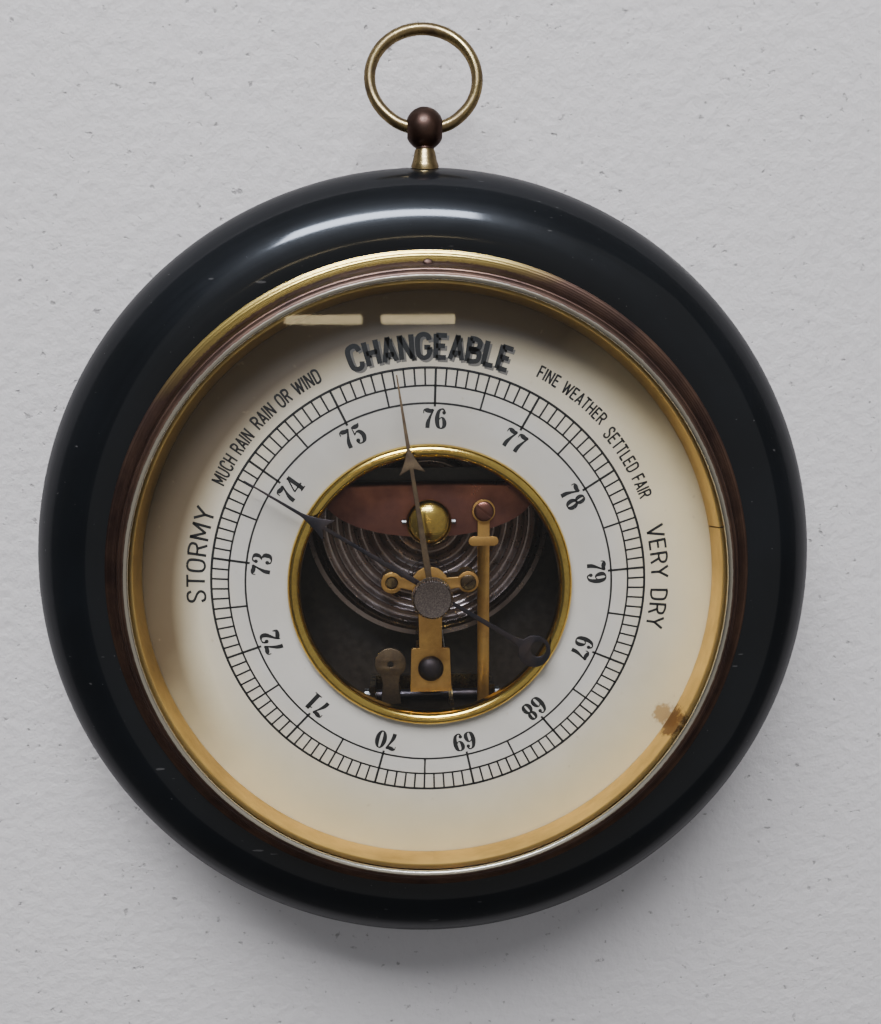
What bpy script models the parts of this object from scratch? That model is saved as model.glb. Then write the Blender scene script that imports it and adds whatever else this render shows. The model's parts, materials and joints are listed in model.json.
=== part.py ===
"""Aneroid wall barometer with an open dial, as an assembly of separate pieces.

The bench frame is the one a repairer would use with the barometer lying on its back: x to the right,
y towards the hanging ring, z out of the wall towards the reader, with z = 0 on the back cover. An
empty called "bench" turns that frame upright, so world +Z is up and world -Y is the front. Lengths
below are in millimetres and become metres where the meshes are made.
"""

from math import cos, pi, radians, sin

import bmesh
import bpy
from mathutils import Vector

MM = 0.001
GAP = 0.3  # left between two pieces that touch

# Case
CASE_R = 88.3  # widest radius of the wooden moulding
CROWN_R = 73.0  # radius of the circle that the moulding's round is centred on
CROWN_Z = 15.1
BORE_R = 65.0
SEAT_R = 69.0  # recess in the wood for the bezel
SEAT_Z = 26.5
WOOD_BACK_R = 84.0
COVER_R = 73.6
COVER_T = 1.2
COVER_SCREW_R = 69.3  # radius of the circle of back cover screws
DRUM_R = BORE_R - 0.4
DRUM_WALL = 1.0
DRUM_BACK_Z = 3.0
DRUM_T = 1.2
FLANGE_T = 0.8

# Dial, bezel and glass
DIAL_Z = 29.0  # front face of the dial
DIAL_T = 1.0
DIAL_R = 64.4
BEAD_R = 31.2
WINDOW_R = 28.4
BEZEL_R = 68.7
BEZEL_LIP_R = 63.2
BEZEL_LIP_Z = 36.8
GLASS_Z = 34.5
GLASS_T = 2.0
GLASS_R = 64.6
SIGHT_R = 62.2
BEZEL_SCREW_R = 66.6  # its distance from the dial's centre

# Hands and knob
INDICATOR_Z = 31.7
INDICATOR_ANGLE = 58.4  # anticlockwise from 12 o'clock
SET_HAND_Z = 33.0
SET_HAND_ANGLE = 8.4
HAND_T = 0.4
HAND_LENGTH = 45.7
ARBOR_R = 0.55
KNOB_R = 4.3
KNOB_Z = 37.6
KNOB_TOP_Z = 42.2

# Hanger
BALL_Y = 95.3
BALL_R = 4.1
HANGER_Z = 19.0
RING_R = 11.25  # centreline of the wire
RING_WIRE_R = 1.2
RING_LEAN = 19.0  # the ring's top leans back to the wall by this angle

# Movement
PLATE_Z = 4.7
PLATE_T = 1.6
PLATE_R = 56.0
PLATE_TOP = PLATE_Z + PLATE_T
MOVEMENT_SCREW_R = 48.0
CAPSULE_Y = 13.8
CAPSULE_R = 28.4
CAPSULE_Z = PLATE_TOP + 0.7
CAPSULE_SEAM_Z = 11.2
CAPSULE_TOP_Z = 15.4
CAPSULE_WALL = 0.45
RIPPLES = 7
BRIDGE_Y = (17.0, 25.5)
BRIDGE_X = 33.0
BRIDGE_LEG = 2.6
BRIDGE_Z = 16.4
BRIDGE_T = 1.7
FOLD_Y = 21.4
LEAF_T = 0.6
LEAF_LOW_Z = BRIDGE_Z + BRIDGE_T + GAP
LEAF_HIGH_Z = 20.2
LEAF_R = 23.8
POST_R = 1.6
POST_HOLE_R = 2.3
PIN_R = 0.55
PIN_REACH = 6.0  # half the cross pin's length
PIN_Z = 21.8
DOME_R = 5.1
DOME_Z = 22.7
DOME_H = 2.7
LEVER_X = 12.3
LEVER_W = 2.7
LEVER_SCREW_Y = 16.0
LEVER_Z = LEAF_HIGH_Z + LEAF_T + GAP
LEVER_T = 0.7
SHAFT_Y = -28.5
SHAFT_Z = 14.5
SHAFT_R = 1.2
SHAFT_X = (-12.6, 13.8)
CRANK = 4.9  # from the shaft's axis down to the connecting link
LINK_Y = SHAFT_Y - CRANK
CHAIN_ARM = 8.0
CHAIN_ARM_X = 5.0
COCK_Z = 25.0
COCK_T = 1.0
LOWER_COCK_Z = 18.6
LOWER_COCK_T = 0.8
EAR_X = 8.5
EAR_Y = 0.7
FOOT_Y = -19.0
CHAIN_DRUM_R = 0.95
CHAIN_Z = SHAFT_Z + CHAIN_ARM

MATERIALS = {
    "ebonised_wood": ((0.012, 0.012, 0.014), 0.0, 0.22),
    "lacquered_brass": ((0.52, 0.36, 0.20), 1.0, 0.30),
    "polished_brass": ((0.83, 0.62, 0.22), 1.0, 0.22),
    "aged_brass": ((0.30, 0.22, 0.12), 1.0, 0.35),
    "gilt": ((0.86, 0.70, 0.34), 1.0, 0.38),
    "clear_glass": ((0.95, 0.97, 0.96), 0.0, 0.03),
    "printed_card": ((0.80, 0.78, 0.72), 0.0, 0.60),
    "blued_steel": ((0.06, 0.07, 0.10), 1.0, 0.30),
    "polished_steel": ((0.62, 0.62, 0.62), 1.0, 0.22),
    "bronzed_steel": ((0.16, 0.09, 0.07), 1.0, 0.40),
    "capsule_metal": ((0.33, 0.30, 0.29), 1.0, 0.35),
    "black_paint": ((0.02, 0.02, 0.02), 0.0, 0.45),
    "drum_steel": ((0.45, 0.42, 0.36), 1.0, 0.45),
}

AXIS_TURNS = {
    "x": (0.0, pi / 2, 0.0),
    "-x": (0.0, -pi / 2, 0.0),
    "y": (-pi / 2, 0.0, 0.0),
    "z": (0.0, 0.0, 0.0),
}
pivots = {}


# ---------------------------------------------------------------- helpers


def clear_scene():
    for obj in list(bpy.data.objects):
        bpy.data.objects.remove(obj)


def material(name):
    if name in bpy.data.materials:
        return bpy.data.materials[name]
    colour, metallic, roughness = MATERIALS[name]
    made = bpy.data.materials.new(name)
    made.use_nodes = True
    made.diffuse_color = (*colour, 1.0)
    shader = made.node_tree.nodes["Principled BSDF"]
    shader.inputs["Base Color"].default_value = (*colour, 1.0)
    shader.inputs["Metallic"].default_value = metallic
    shader.inputs["Roughness"].default_value = roughness
    return made


def pivot(name, at=(0, 0, 0)):
    """An empty on a joint's axis; the pieces of one moving body hang from it."""
    empty = bpy.data.objects.new(name, None)
    bpy.context.collection.objects.link(empty)
    if pivots:
        empty.parent = pivots["bench"]
    empty.location = Vector(at) * MM
    pivots[name] = empty
    return empty


def attach(obj, body, at, turn):
    """Hangs an object on a body's empty, at a place given in the bench frame."""
    holder = pivots[body]
    origin = holder.location if body != "bench" else Vector()
    obj.parent = holder
    obj.location = Vector(at) * MM - origin
    obj.rotation_euler = turn


def mesh_object(name, verts, faces, smooth_angle=35.0):
    mesh = bpy.data.meshes.new(name)
    mesh.from_pydata([Vector(v) * MM for v in verts], [], faces)
    shape = bmesh.new()
    shape.from_mesh(mesh)
    bmesh.ops.recalc_face_normals(shape, faces=shape.faces)
    shape.to_mesh(mesh)
    shape.free()
    mesh.shade_smooth()
    mesh.set_sharp_from_angle(angle=radians(smooth_angle))
    obj = bpy.data.objects.new(name, mesh)
    bpy.context.collection.objects.link(obj)
    return obj


def turned_mesh(name, profile, segments, phase):
    """A closed solid of revolution about z. The profile is a closed outline of (radius, height)
    points; a point at radius 0 lies on the axis, and a flat end is one face. Phase, a part of a
    segment, keeps a cutter's corners clear of the corners of what it cuts."""
    verts = []
    rows = []
    for radius, height in profile:
        if radius == 0:
            rows.append(height)
            continue
        rows.append(list(range(len(verts), len(verts) + segments)))
        for i in range(segments):
            a = 2 * pi * (i + phase) / segments
            verts.append((radius * cos(a), radius * sin(a), height))
    faces = []
    for row, after in zip(rows, rows[1:] + rows[:1]):
        ring = row if isinstance(row, list) else after
        if not isinstance(ring, list):
            continue
        if not (isinstance(row, list) and isinstance(after, list)):
            faces.append(ring)
            continue
        for i in range(segments):
            j = (i + 1) % segments
            faces.append((row[i], row[j], after[j], after[i]))
    return mesh_object(name, verts, faces)


def turned(name, finish, profile, body="bench", at=(0, 0, 0), axis="z", segments=32, phase=0.0):
    obj = turned_mesh(name, profile, segments, phase)
    obj.data.materials.append(material(finish))
    attach(obj, body, at, AXIS_TURNS[axis])
    return obj


def rod(name, finish, radius, low, high, **place):
    """A plain cylinder from height low to height high."""
    return turned(name, finish, [(0, low), (radius, low), (radius, high), (0, high)], **place)


def plate(name, finish, outline, holes, thickness, at, body="bench", turn=(0, 0, 0)):
    """A flat piece cut from sheet: an outline and round holes (x, y, radius), thickened both ways."""
    curve = bpy.data.curves.new(name, "CURVE")
    curve.dimensions = "2D"
    curve.fill_mode = "BOTH"
    curve.extrude = thickness / 2 * MM
    for loop in [outline] + [arc(x, y, r, 0, 337.5, 15) for x, y, r in holes]:
        spline = curve.splines.new("POLY")
        spline.points.add(len(loop) - 1)
        for point, (x, y) in zip(spline.points, loop):
            point.co = (x * MM, y * MM, 0, 1)
        spline.use_cyclic_u = True
    curve.materials.append(material(finish))
    obj = bpy.data.objects.new(name, curve)
    bpy.context.collection.objects.link(obj)
    attach(obj, body, at, turn)
    return obj


def wire(name, finish, points, radius, body):
    """A round wire along points given from the body's pivot."""
    curve = bpy.data.curves.new(name, "CURVE")
    curve.dimensions = "3D"
    curve.bevel_depth = radius * MM
    curve.bevel_resolution = 2
    curve.use_fill_caps = True
    spline = curve.splines.new("POLY")
    spline.points.add(len(points) - 1)
    for point, place in zip(spline.points, points):
        point.co = (*(Vector(place) * MM), 1)
    curve.materials.append(material(finish))
    obj = bpy.data.objects.new(name, curve)
    bpy.context.collection.objects.link(obj)
    obj.parent = pivots[body]
    return obj


def prism(name, finish, outline, low, high, axis):
    """A solid between two planes across an axis; its outline is given in the other two axes."""
    spots = {
        "x": lambda a, b, c: (c, a, b),
        "y": lambda a, b, c: (a, c, b),
        "z": lambda a, b, c: (a, b, c),
    }
    count = len(outline)
    verts = [spots[axis](a, b, height) for height in (low, high) for a, b in outline]
    faces = [tuple(range(count)), tuple(range(2 * count - 1, count - 1, -1))]
    for i in range(count):
        j = (i + 1) % count
        faces.append((i, j, count + j, count + i))
    obj = mesh_object(name, verts, faces)
    obj.data.materials.append(material(finish))
    attach(obj, "bench", (0, 0, 0), (0, 0, 0))
    return obj


def combine(obj, tool, operation="DIFFERENCE"):
    """Booleans a helper into a piece and keeps the helper out of the model."""
    modifier = obj.modifiers.new(tool.name, "BOOLEAN")
    modifier.operation = operation
    modifier.object = tool
    tool.hide_render = True
    tool.display_type = "WIRE"


def drill(obj, radius, low, high, at=(0, 0, 0), axis="z", segments=20):
    """A round hole along an axis, from low to high measured from a place in the bench frame."""
    place = {"at": at, "axis": axis, "segments": segments, "phase": 0.3}
    combine(obj, rod(f"{obj.name}_drill", "black_paint", radius, low, high, **place))


def slot(obj, width, depth, length, at):
    """A screwdriver slot along x, centred on a place in the bench frame."""
    x, y, z = at
    half = length / 2
    outline = [(x - half, y - width / 2), (x + half, y - width / 2)]
    outline += [(x + half, y + width / 2), (x - half, y + width / 2)]
    combine(obj, prism(f"{obj.name}_slot", "black_paint", outline, z - depth, z + depth, "z"))


def arc(x, y, radius, start, end, steps):
    """Points on an arc, anticlockwise when end is over start, angles in degrees from +x."""
    angles = [radians(start + (end - start) * i / steps) for i in range(steps + 1)]
    return [(x + radius * cos(a), y + radius * sin(a)) for a in angles]


def on_circle(radius, angle):
    """The point at an angle clockwise from 12 o'clock."""
    return radius * sin(radians(angle)), radius * cos(radians(angle))


def with_mirror(right_side):
    """An outline that is the same on both sides of x = 0, from its right side, bottom to top."""
    return right_side + [(-x, y) for x, y in reversed(right_side)]


# ---------------------------------------------------------------- case


def moulding_profile():
    """A half-round moulding: flat back, rim stepped at its widest line, crown, seat for the bezel."""
    rim = [(WOOD_BACK_R, 0), (86.0, 4.5), (87.2, 9.5), (87.5, CROWN_Z - 1.2), (CASE_R, CROWN_Z - 0.9)]
    crown = arc(CROWN_R, CROWN_Z, CASE_R - CROWN_R, 0, 105, 9)
    seat = [(SEAT_R, SEAT_Z), (BORE_R, SEAT_Z), (BORE_R, COVER_T + GAP)]
    rebate = [(COVER_R + GAP, COVER_T + GAP), (COVER_R + GAP, 0)]
    return rim + crown + seat + rebate


def cover_screw_places():
    return [on_circle(COVER_SCREW_R, angle) for angle in (60, 180, 300)]


def make_wood_frame():
    frame = turned("wood_frame", "ebonised_wood", moulding_profile(), segments=72)
    drill(frame, 2.3, BALL_Y - 20.0, BALL_Y, at=(0, 0, HANGER_Z), axis="y")
    drill(frame, 1.0, 21.0, 32.0, at=(0, BEZEL_SCREW_R, 0), segments=12)
    for x, y in cover_screw_places():
        drill(frame, 1.25, -1, 9.0, at=(x, y, 0), segments=12)


def make_back_cover():
    cover = rod("back_cover", "black_paint", COVER_R, 0, COVER_T, segments=56)
    drill(cover, 3.2, -1, 3, at=(0, CAPSULE_Y, 0))
    hole = [(0, -0.5), (2.85, -0.5), (1.3, 1.05), (1.3, 3), (0, 3)]
    screw = [(0, 0), (2.0, 0), (0.95, 1.1), (0.95, 7.5), (0.3, 8.6), (0, 8.6)]
    for number, (x, y) in enumerate(cover_screw_places(), 1):
        place = {"at": (x, y, 0), "segments": 20, "phase": 0.3}
        combine(cover, turned(f"countersink_{number}", "black_paint", hole, **place))
        made = turned(f"back_cover_screw_{number}", "polished_brass", screw, at=(x, y, 0), segments=16)
        slot(made, 0.6, 0.5, 6, (x, y, 0))


def make_drum():
    """A spun can, open to the front, whose flange rests in the wooden moulding."""
    back = DRUM_BACK_Z
    shelf = SEAT_Z + GAP
    top = shelf + FLANGE_T
    inner = DRUM_R - DRUM_WALL
    flange_r = SEAT_R - 1.1
    profile = [(0, back), (DRUM_R, back), (DRUM_R, shelf), (flange_r, shelf), (flange_r, top)]
    profile += [(inner, top), (inner, back + DRUM_T), (0, back + DRUM_T)]
    drum = turned("case_drum", "drum_steel", profile, segments=56)
    drill(drum, 2.8, 1, 6, at=(0, CAPSULE_Y, 0))
    drill(drum, 1.0, 20.0, 32.0, at=(0, BEZEL_SCREW_R, 0), segments=12)
    for x, y in movement_screw_places():
        drill(drum, 1.9, 1, 6, at=(x, y, 0), segments=16)


def bezel_profile():
    """A turned ring: outer bead, hollow sweep, step and inner bead, over a straight bore."""
    foot_z = SEAT_Z + FLANGE_T + 2 * GAP
    start, bend, end = Vector((67.9, 30.4)), Vector((66.0, 32.2)), Vector((65.4, 36.4))
    steps = 5
    sweep = []
    for i in range(steps + 1):
        t = i / steps
        point = start * (1 - t) ** 2 + bend * 2 * t * (1 - t) + end * t**2
        sweep.append((point.x, point.y))
    outer = [(BORE_R, foot_z), (BEZEL_R, foot_z), (BEZEL_R, 30.0), (68.4, 30.6), (68.1, 30.7)]
    lip = [(64.9, 37.1), (64.3, 37.6), (63.7, 37.6), (BEZEL_LIP_R, 37.2)]
    return outer + sweep + lip + [(BEZEL_LIP_R, BEZEL_LIP_Z), (BORE_R, BEZEL_LIP_Z)]


def make_bezel():
    at = (0, BEZEL_SCREW_R, 0)
    bezel = turned("bezel", "lacquered_brass", bezel_profile(), segments=72)
    drill(bezel, 0.9, 25.0, 40.0, at=at, segments=12)
    drill(bezel, 1.4, 31.0, 40.0, at=at, segments=16)
    profile = [(0, 22.0), (0.6, 22.0), (0.6, 31.3), (1.1, 31.3), (1.1, 32.4), (0.7, 32.8), (0, 32.8)]
    screw = turned("bezel_screw", "aged_brass", profile, at=at, segments=14)
    slot(screw, 0.4, 0.5, 4, (0, BEZEL_SCREW_R, 32.8))


def make_glass():
    top = GLASS_Z + GLASS_T
    hole_r = 1.9
    bevel = [(GLASS_R, top - 0.9), (GLASS_R - 1.4, top)]
    profile = [(hole_r, GLASS_Z), (GLASS_R, GLASS_Z)] + bevel + [(hole_r, top)]
    turned("glass", "clear_glass", profile, segments=64)
    inner, outer, flange_r = 1.25, 1.6, 2.6
    under = GLASS_Z - GAP
    profile = [(inner, under - 0.4), (flange_r, under - 0.4), (flange_r, under), (outer, under)]
    profile += [(outer, top + 0.1), (inner, top + 0.1)]
    turned("glass_bush", "polished_brass", profile, segments=20)


def make_sight_ring():
    """The reflector between dial and glass, a conical strip with a flat lip and an open seam."""
    low = DIAL_Z + GAP
    high = GLASS_Z - GAP
    profile = [(SIGHT_R, low), (SIGHT_R + 0.9, low), (SIGHT_R + 2.0, high), (SIGHT_R + 0.65, high)]
    ring = turned("sight_ring", "gilt", profile, segments=64)
    outline = [(SIGHT_R - 2, -0.3), (SIGHT_R + 4, -0.3), (SIGHT_R + 4, 0.3), (SIGHT_R - 2, 0.3)]
    seam = prism("sight_ring_seam", "black_paint", outline, low - 1, high + 1, "z")
    seam.rotation_euler = (0, 0, radians(12.0))
    combine(ring, seam)


def make_dial():
    hole_r = WINDOW_R + 1.0
    back = DIAL_Z - DIAL_T
    profile = [(hole_r, back), (DIAL_R, back), (DIAL_R, DIAL_Z), (hole_r, DIAL_Z)]
    turned("dial_plate", "printed_card", profile, segments=64)
    front = DIAL_Z + GAP
    sleeve = [(WINDOW_R, back - 0.4), (hole_r - GAP, back - 0.4), (hole_r - GAP, front)]
    bead = arc((BEAD_R + WINDOW_R) / 2, front, (BEAD_R - WINDOW_R) / 2, 0, 180, 6)
    turned("dial_window_ring", "polished_brass", sleeve + bead, segments=56)


# ---------------------------------------------------------------- hanger


def make_hanger():
    """A ball on a flared neck with a plain shank in the wood; the ring passes through the ball."""
    at = (0, BALL_Y, HANGER_Z)
    neck = [(0, -19.5), (1.9, -19.5), (1.9, -6.65), (3.1, -6.65), (2.9, -5.7), (2.4, -4.6)]
    ball = arc(0, 0, BALL_R, -54, 81, 9) + [(0, BALL_R)]
    stem = turned("hanger_stem", "aged_brass", neck + ball, at=at, axis="y", segments=24)
    drill(stem, 2.25, -6, 6, at=at, axis="x", segments=16)


def make_hanging_ring():
    """A split ring sprung into the drilled ball, its ends inside; it leans back to the wall."""
    end = 7.0
    steps = 44
    lean = radians(RING_LEAN)
    points = []
    for i in range(steps + 1):
        a = radians(end + (360 - 2 * end) * i / steps)
        rise = RING_R * (1 - cos(a))
        points.append((RING_R * sin(a), rise * cos(lean), -rise * sin(lean)))
    wire("hanging_ring", "aged_brass", points, RING_WIRE_R, "ring_pivot")


# ---------------------------------------------------------------- hands


def hand_outline(needle, apex, barb_r, barb_w, notch_r, shank_w, tail):
    """A hand that points to +y: half needle width, arrowhead from apex to barbs, notch, shank, tail."""
    hollow = (barb_w * 0.36, barb_r + (apex - barb_r) * 0.45)
    head = [(shank_w, notch_r), (barb_w, barb_r), hollow]
    head += [(needle * 1.4, apex), (needle * 0.5, HAND_LENGTH)]
    return with_mirror(tail + head)


def make_indicator():
    """The reading hand with its ring tail, and what turns with it on the arbor."""
    ring_y = -26.6
    tail = arc(0, ring_y, 3.6, -80, 74, 9) + [(0.5, -2.2)] + arc(0, 0, 2.3, -74, 76, 8)
    outline = hand_outline(0.42, 32.2, 25.2, 2.5, 27.4, 0.45, tail)
    holes = [(0, 0, 0.95), (0.5, ring_y - 0.4, 1.7)]
    place = {"body": "hand_pivot", "at": (0, 0, 0)}
    middle = (0, 0, INDICATOR_Z + HAND_T / 2)
    turn = (0, 0, radians(INDICATOR_ANGLE))
    plate("indicator_hand", "blued_steel", outline, holes, HAND_T, middle, "hand_pivot", turn)
    rod("hand_arbor", "polished_steel", ARBOR_R, 18.0, 32.5, segments=12, **place)
    collet = [(0.85, 20.0), (1.4, 20.0), (1.4, 20.9), (0.85, 20.9)]
    turned("hairspring_collet", "polished_brass", collet, segments=16, **place)
    flange_r = CHAIN_DRUM_R + 0.6
    half = [(flange_r, 1.0), (flange_r, 0.7), (CHAIN_DRUM_R, 0.5)]
    drum = [(0.85, -1.0)] + [(r, -h) for r, h in half] + half[::-1] + [(0.85, 1.0)]
    turned("chain_drum", "polished_brass", drum, body="hand_pivot", at=(0, 0, CHAIN_Z), segments=16)


def make_set_hand():
    """The hand that is left at the last reading, and the knob that turns it through the glass."""
    outline = hand_outline(0.5, 30.4, 25.6, 2.7, 27.0, 0.55, arc(0, 0, 2.6, -84, 76, 9))
    middle = (0, 0, SET_HAND_Z + HAND_T / 2)
    turn = (0, 0, radians(SET_HAND_ANGLE))
    plate("set_hand", "aged_brass", outline, [(0, 0, 1.3)], HAND_T, middle, "set_pivot", turn)
    rod("set_arbor", "polished_brass", 1.0, SET_HAND_Z - 0.2, 40.6, body="set_pivot", segments=16)
    washer = [(1.3, 36.9), (3.4, 36.9), (3.4, 37.3), (1.3, 37.3)]
    turned("knob_washer", "polished_brass", washer, body="set_pivot", segments=20)
    top = KNOB_TOP_Z
    knob = [(1.3, KNOB_Z), (2.6, KNOB_Z), (3.9, KNOB_Z + 0.8), (KNOB_R, KNOB_Z + 1.3)]
    knob += [(KNOB_R, top - 0.5), (KNOB_R - 0.5, top), (0, top), (0, 40.9), (1.3, 40.9)]
    turned("set_knob", "aged_brass", knob, body="set_pivot", segments=32)


# ---------------------------------------------------------------- movement


def movement_screw_places():
    return [on_circle(MOVEMENT_SCREW_R, angle) for angle in (0, 120, 240)]


def make_base_plate():
    base = rod("base_plate", "black_paint", PLATE_R, PLATE_Z, PLATE_TOP, segments=48)
    drill(base, 2.8, 3, 8, at=(0, CAPSULE_Y, 0))
    seat = DRUM_BACK_Z - GAP
    head = seat - 1.0
    tip = PLATE_TOP + 1.1
    profile = [(0, head), (3.0, head), (3.0, seat), (1.6, seat), (1.6, tip), (0, tip)]
    for number, (x, y) in enumerate(movement_screw_places(), 1):
        drill(base, 1.9, 3, 8, at=(x, y, 0), segments=16)
        made = turned(f"movement_screw_{number}", "polished_steel", profile, at=(x, y, 0), segments=16)
        slot(made, 0.8, 0.5, 8, (x, y, head))


def make_adjusting_screw():
    place = {"body": "adjuster_pivot", "at": (0, CAPSULE_Y, 0), "segments": 20}
    head = 1.8
    screw = rod("adjusting_screw", "polished_brass", 2.4, head, 6.7, **place)
    slot(screw, 0.8, 0.8, 8, (0, CAPSULE_Y, head))


def make_capsule():
    """Two thin metal shells, soldered at the rim; only the rippled front one bends."""
    at = (0, CAPSULE_Y, 0)
    seam = CAPSULE_SEAM_Z
    wall = CAPSULE_WALL
    low = CAPSULE_Z
    edge = CAPSULE_R - 2.4
    rim = [(CAPSULE_R, seam - 0.2 - wall), (CAPSULE_R, seam - 0.2), (edge + 0.9, seam - 0.2)]
    cup = [(0, low), (edge, low), (edge + 1.2, seam - 0.2 - wall)] + rim
    cup += [(edge - wall, low + wall), (0, low + wall)]
    turned("capsule_cup", "capsule_metal", cup, at=at, segments=36)
    hub = 5.2
    trough = CAPSULE_TOP_Z - 0.7
    pitch = (edge - hub) / (2 * RIPPLES)
    skin = [(edge + 1.2, seam + 0.2 + wall), (edge, trough - 0.2)]
    for i in range(1, 2 * RIPPLES):
        skin.append((edge - i * pitch, CAPSULE_TOP_Z if i % 2 else trough))
    skin += [(hub, trough), (hub - 0.4, CAPSULE_TOP_Z), (0, CAPSULE_TOP_Z)]
    inside = [(radius, height - wall) for radius, height in reversed(skin[1:])]
    rim = [(edge + 0.9, seam + 0.2), (CAPSULE_R, seam + 0.2), (CAPSULE_R, seam + 0.2 + wall)]
    turned("capsule_diaphragm", "capsule_metal", rim + skin + inside, at=at, segments=36)


def make_capsule_head():
    """The post on the diaphragm, the cross pin that the mainspring lifts, and the dome nut over it."""
    place = {"body": "lever_pivot", "at": (0, CAPSULE_Y, 0)}
    top = DOME_Z + 1.5
    post = rod("capsule_post", "polished_steel", POST_R, CAPSULE_TOP_Z + GAP, top, segments=16, **place)
    pin_at = (0, CAPSULE_Y, PIN_Z)
    drill(post, PIN_R + GAP, -4, 4, at=pin_at, axis="x", segments=12)
    pin_place = {"body": "lever_pivot", "at": pin_at, "axis": "x", "segments": 10}
    rod("cross_pin", "polished_steel", PIN_R, -PIN_REACH, PIN_REACH, **pin_place)
    rim = DOME_Z + 0.4
    bore_r = POST_R + GAP
    dome = [(DOME_R * cos(radians(a)), rim + DOME_H * sin(radians(a))) for a in range(0, 90, 15)]
    profile = [(bore_r, DOME_Z), (DOME_R, DOME_Z)] + dome + [(0, rim + DOME_H)]
    profile += [(0, top + GAP), (bore_r, top + GAP)]
    turned("dome_nut", "polished_brass", profile, segments=28, **place)


def make_spring_bridge():
    """A bar on two legs that spans the capsule and carries the mainspring."""
    inner = BRIDGE_X - BRIDGE_LEG
    low = PLATE_TOP + GAP
    top = BRIDGE_Z + BRIDGE_T
    half = [(inner, BRIDGE_Z), (inner, low), (BRIDGE_X, low), (BRIDGE_X, top)]
    outline = with_mirror(half)
    bridge = prism("spring_bridge", "black_paint", outline, *BRIDGE_Y, "y")
    y = sum(BRIDGE_Y) / 2
    head = [(0.7, top + GAP), (2.3, top + GAP), (2.3, top + 1.0), (1.5, top + 1.5), (0, top + 1.5)]
    profile = [(0, 10.5), (0.7, 10.5)] + head
    leg_x = BRIDGE_X - BRIDGE_LEG / 2
    for side, x in (("left", -leg_x), ("right", leg_x)):
        drill(bridge, 1.0, 9.0, top + 1, at=(x, y, 0), segments=12)
        screw = turned(f"bridge_screw_{side}", "polished_steel", profile, at=(x, y, 0), segments=16)
        slot(screw, 0.6, 0.5, 6, (x, y, top + 1.5))


def make_mainspring():
    """One leaf folded along a straight line; its upper half narrows in a bow to the capsule's post."""
    low = LEAF_LOW_Z
    high = LEAF_HIGH_Z + LEAF_T
    middle = (low + high) / 2
    outer = middle - low
    inner = outer - LEAF_T
    start_y = BRIDGE_Y[0] + 0.2
    side = [(start_y, low)] + arc(FOLD_Y, middle, outer, -90, 90, 8) + [(8.0, high), (8.0, LEAF_HIGH_Z)]
    side += arc(FOLD_Y, middle, inner, 90, -90, 6) + [(start_y, low + LEAF_T)]
    leaf = prism("mainspring", "bronzed_steel", side, -26.0, 26.0, "x")
    bow = [(LEAF_R * cos(radians(a)), 20.6 + 10.4 * sin(radians(a))) for a in range(-180, 1, 10)]
    outline = bow + [(LEAF_R, 25.0), (-LEAF_R, 25.0)]
    combine(leaf, prism("mainspring_outline", "black_paint", outline, 15.0, 25.0, "z"), "INTERSECT")
    drill(leaf, POST_HOLE_R, 17.0, 23.0, at=(0, CAPSULE_Y, 0))


def make_lever():
    """The brass strip on the mainspring that multiplies the capsule's stroke, and its screw."""
    half = LEVER_W / 2
    tab_y = 9.2
    right = [(half, LINK_Y - 1.8), (half, tab_y - 1.1)] + arc(2.3, tab_y, 1.1, -90, 90, 4)
    right += [(half, tab_y + 1.1), (half, LEVER_SCREW_Y - 2.3)] + arc(0, LEVER_SCREW_Y, 2.6, -50, 84, 8)
    holes = [(0, LEVER_SCREW_Y, 1.0), (0, LINK_Y, 0.8)]
    middle = (LEVER_X, 0, LEVER_Z + LEVER_T / 2)
    plate("lever_arm", "polished_brass", with_mirror(right), holes, LEVER_T, middle, "lever_pivot")
    low = LEVER_Z + 0.1
    head = LEVER_Z + LEVER_T + GAP
    top = head + 1.1
    profile = [(0, low), (0.7, low), (0.7, head), (2.2, head), (2.2, head + 0.6), (1.3, top), (0, top)]
    at = (LEVER_X, LEVER_SCREW_Y, 0)
    screw = turned("lever_screw", "aged_brass", profile, body="lever_pivot", at=at, segments=20)
    slot(screw, 0.5, 0.45, 6, (LEVER_X, LEVER_SCREW_Y, top))
    place = {"body": "link_pivot", "at": (LEVER_X, LINK_Y, 0), "segments": 10}
    rod("connecting_link", "polished_steel", 0.45, SHAFT_Z + 1.5, LEVER_Z + LEVER_T + 0.5, **place)


def make_rocking_shaft():
    """A shaft between two screw points; it turns the link's push into the chain's pull."""
    x0, x1 = SHAFT_X
    at = (0, SHAFT_Y, SHAFT_Z)
    wall = 1.3
    low = PLATE_TOP + GAP
    top = SHAFT_Z + 2.8
    left, right = x0 - GAP - wall, x1 + GAP + wall
    floor = low + 1.2
    outline = [(left, low), (right, low), (right, top), (right - wall, top), (right - wall, floor)]
    outline += [(left + wall, floor), (left + wall, top), (left, top)]
    carrier = prism("shaft_carrier", "aged_brass", outline, SHAFT_Y - 2.8, SHAFT_Y + 2.8, "y")
    drill(carrier, 0.95, left - 1, right + 1, at=at, axis="x", segments=12)
    place = {"body": "shaft_pivot", "at": at, "axis": "x", "segments": 16}
    shaft = rod("rocking_shaft", "blued_steel", SHAFT_R, x0, x1, **place)
    seat = 2 * GAP + wall
    screw = [(0, -1.0), (0.3, -1.0), (0.6, 0.1), (0.6, seat), (1.5, seat)]
    screw += [(1.5, seat + 1.0), (0, seat + 1.0)]
    for side, end, axis in (("left", x0, "-x"), ("right", x1, "x")):
        place = (end, SHAFT_Y, SHAFT_Z)
        drill(shaft, 0.9, -1.6, 1.6, at=place, axis="x", segments=12)
        turned(f"pivot_screw_{side}", "polished_steel", screw, at=place, axis=axis, segments=14)


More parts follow.
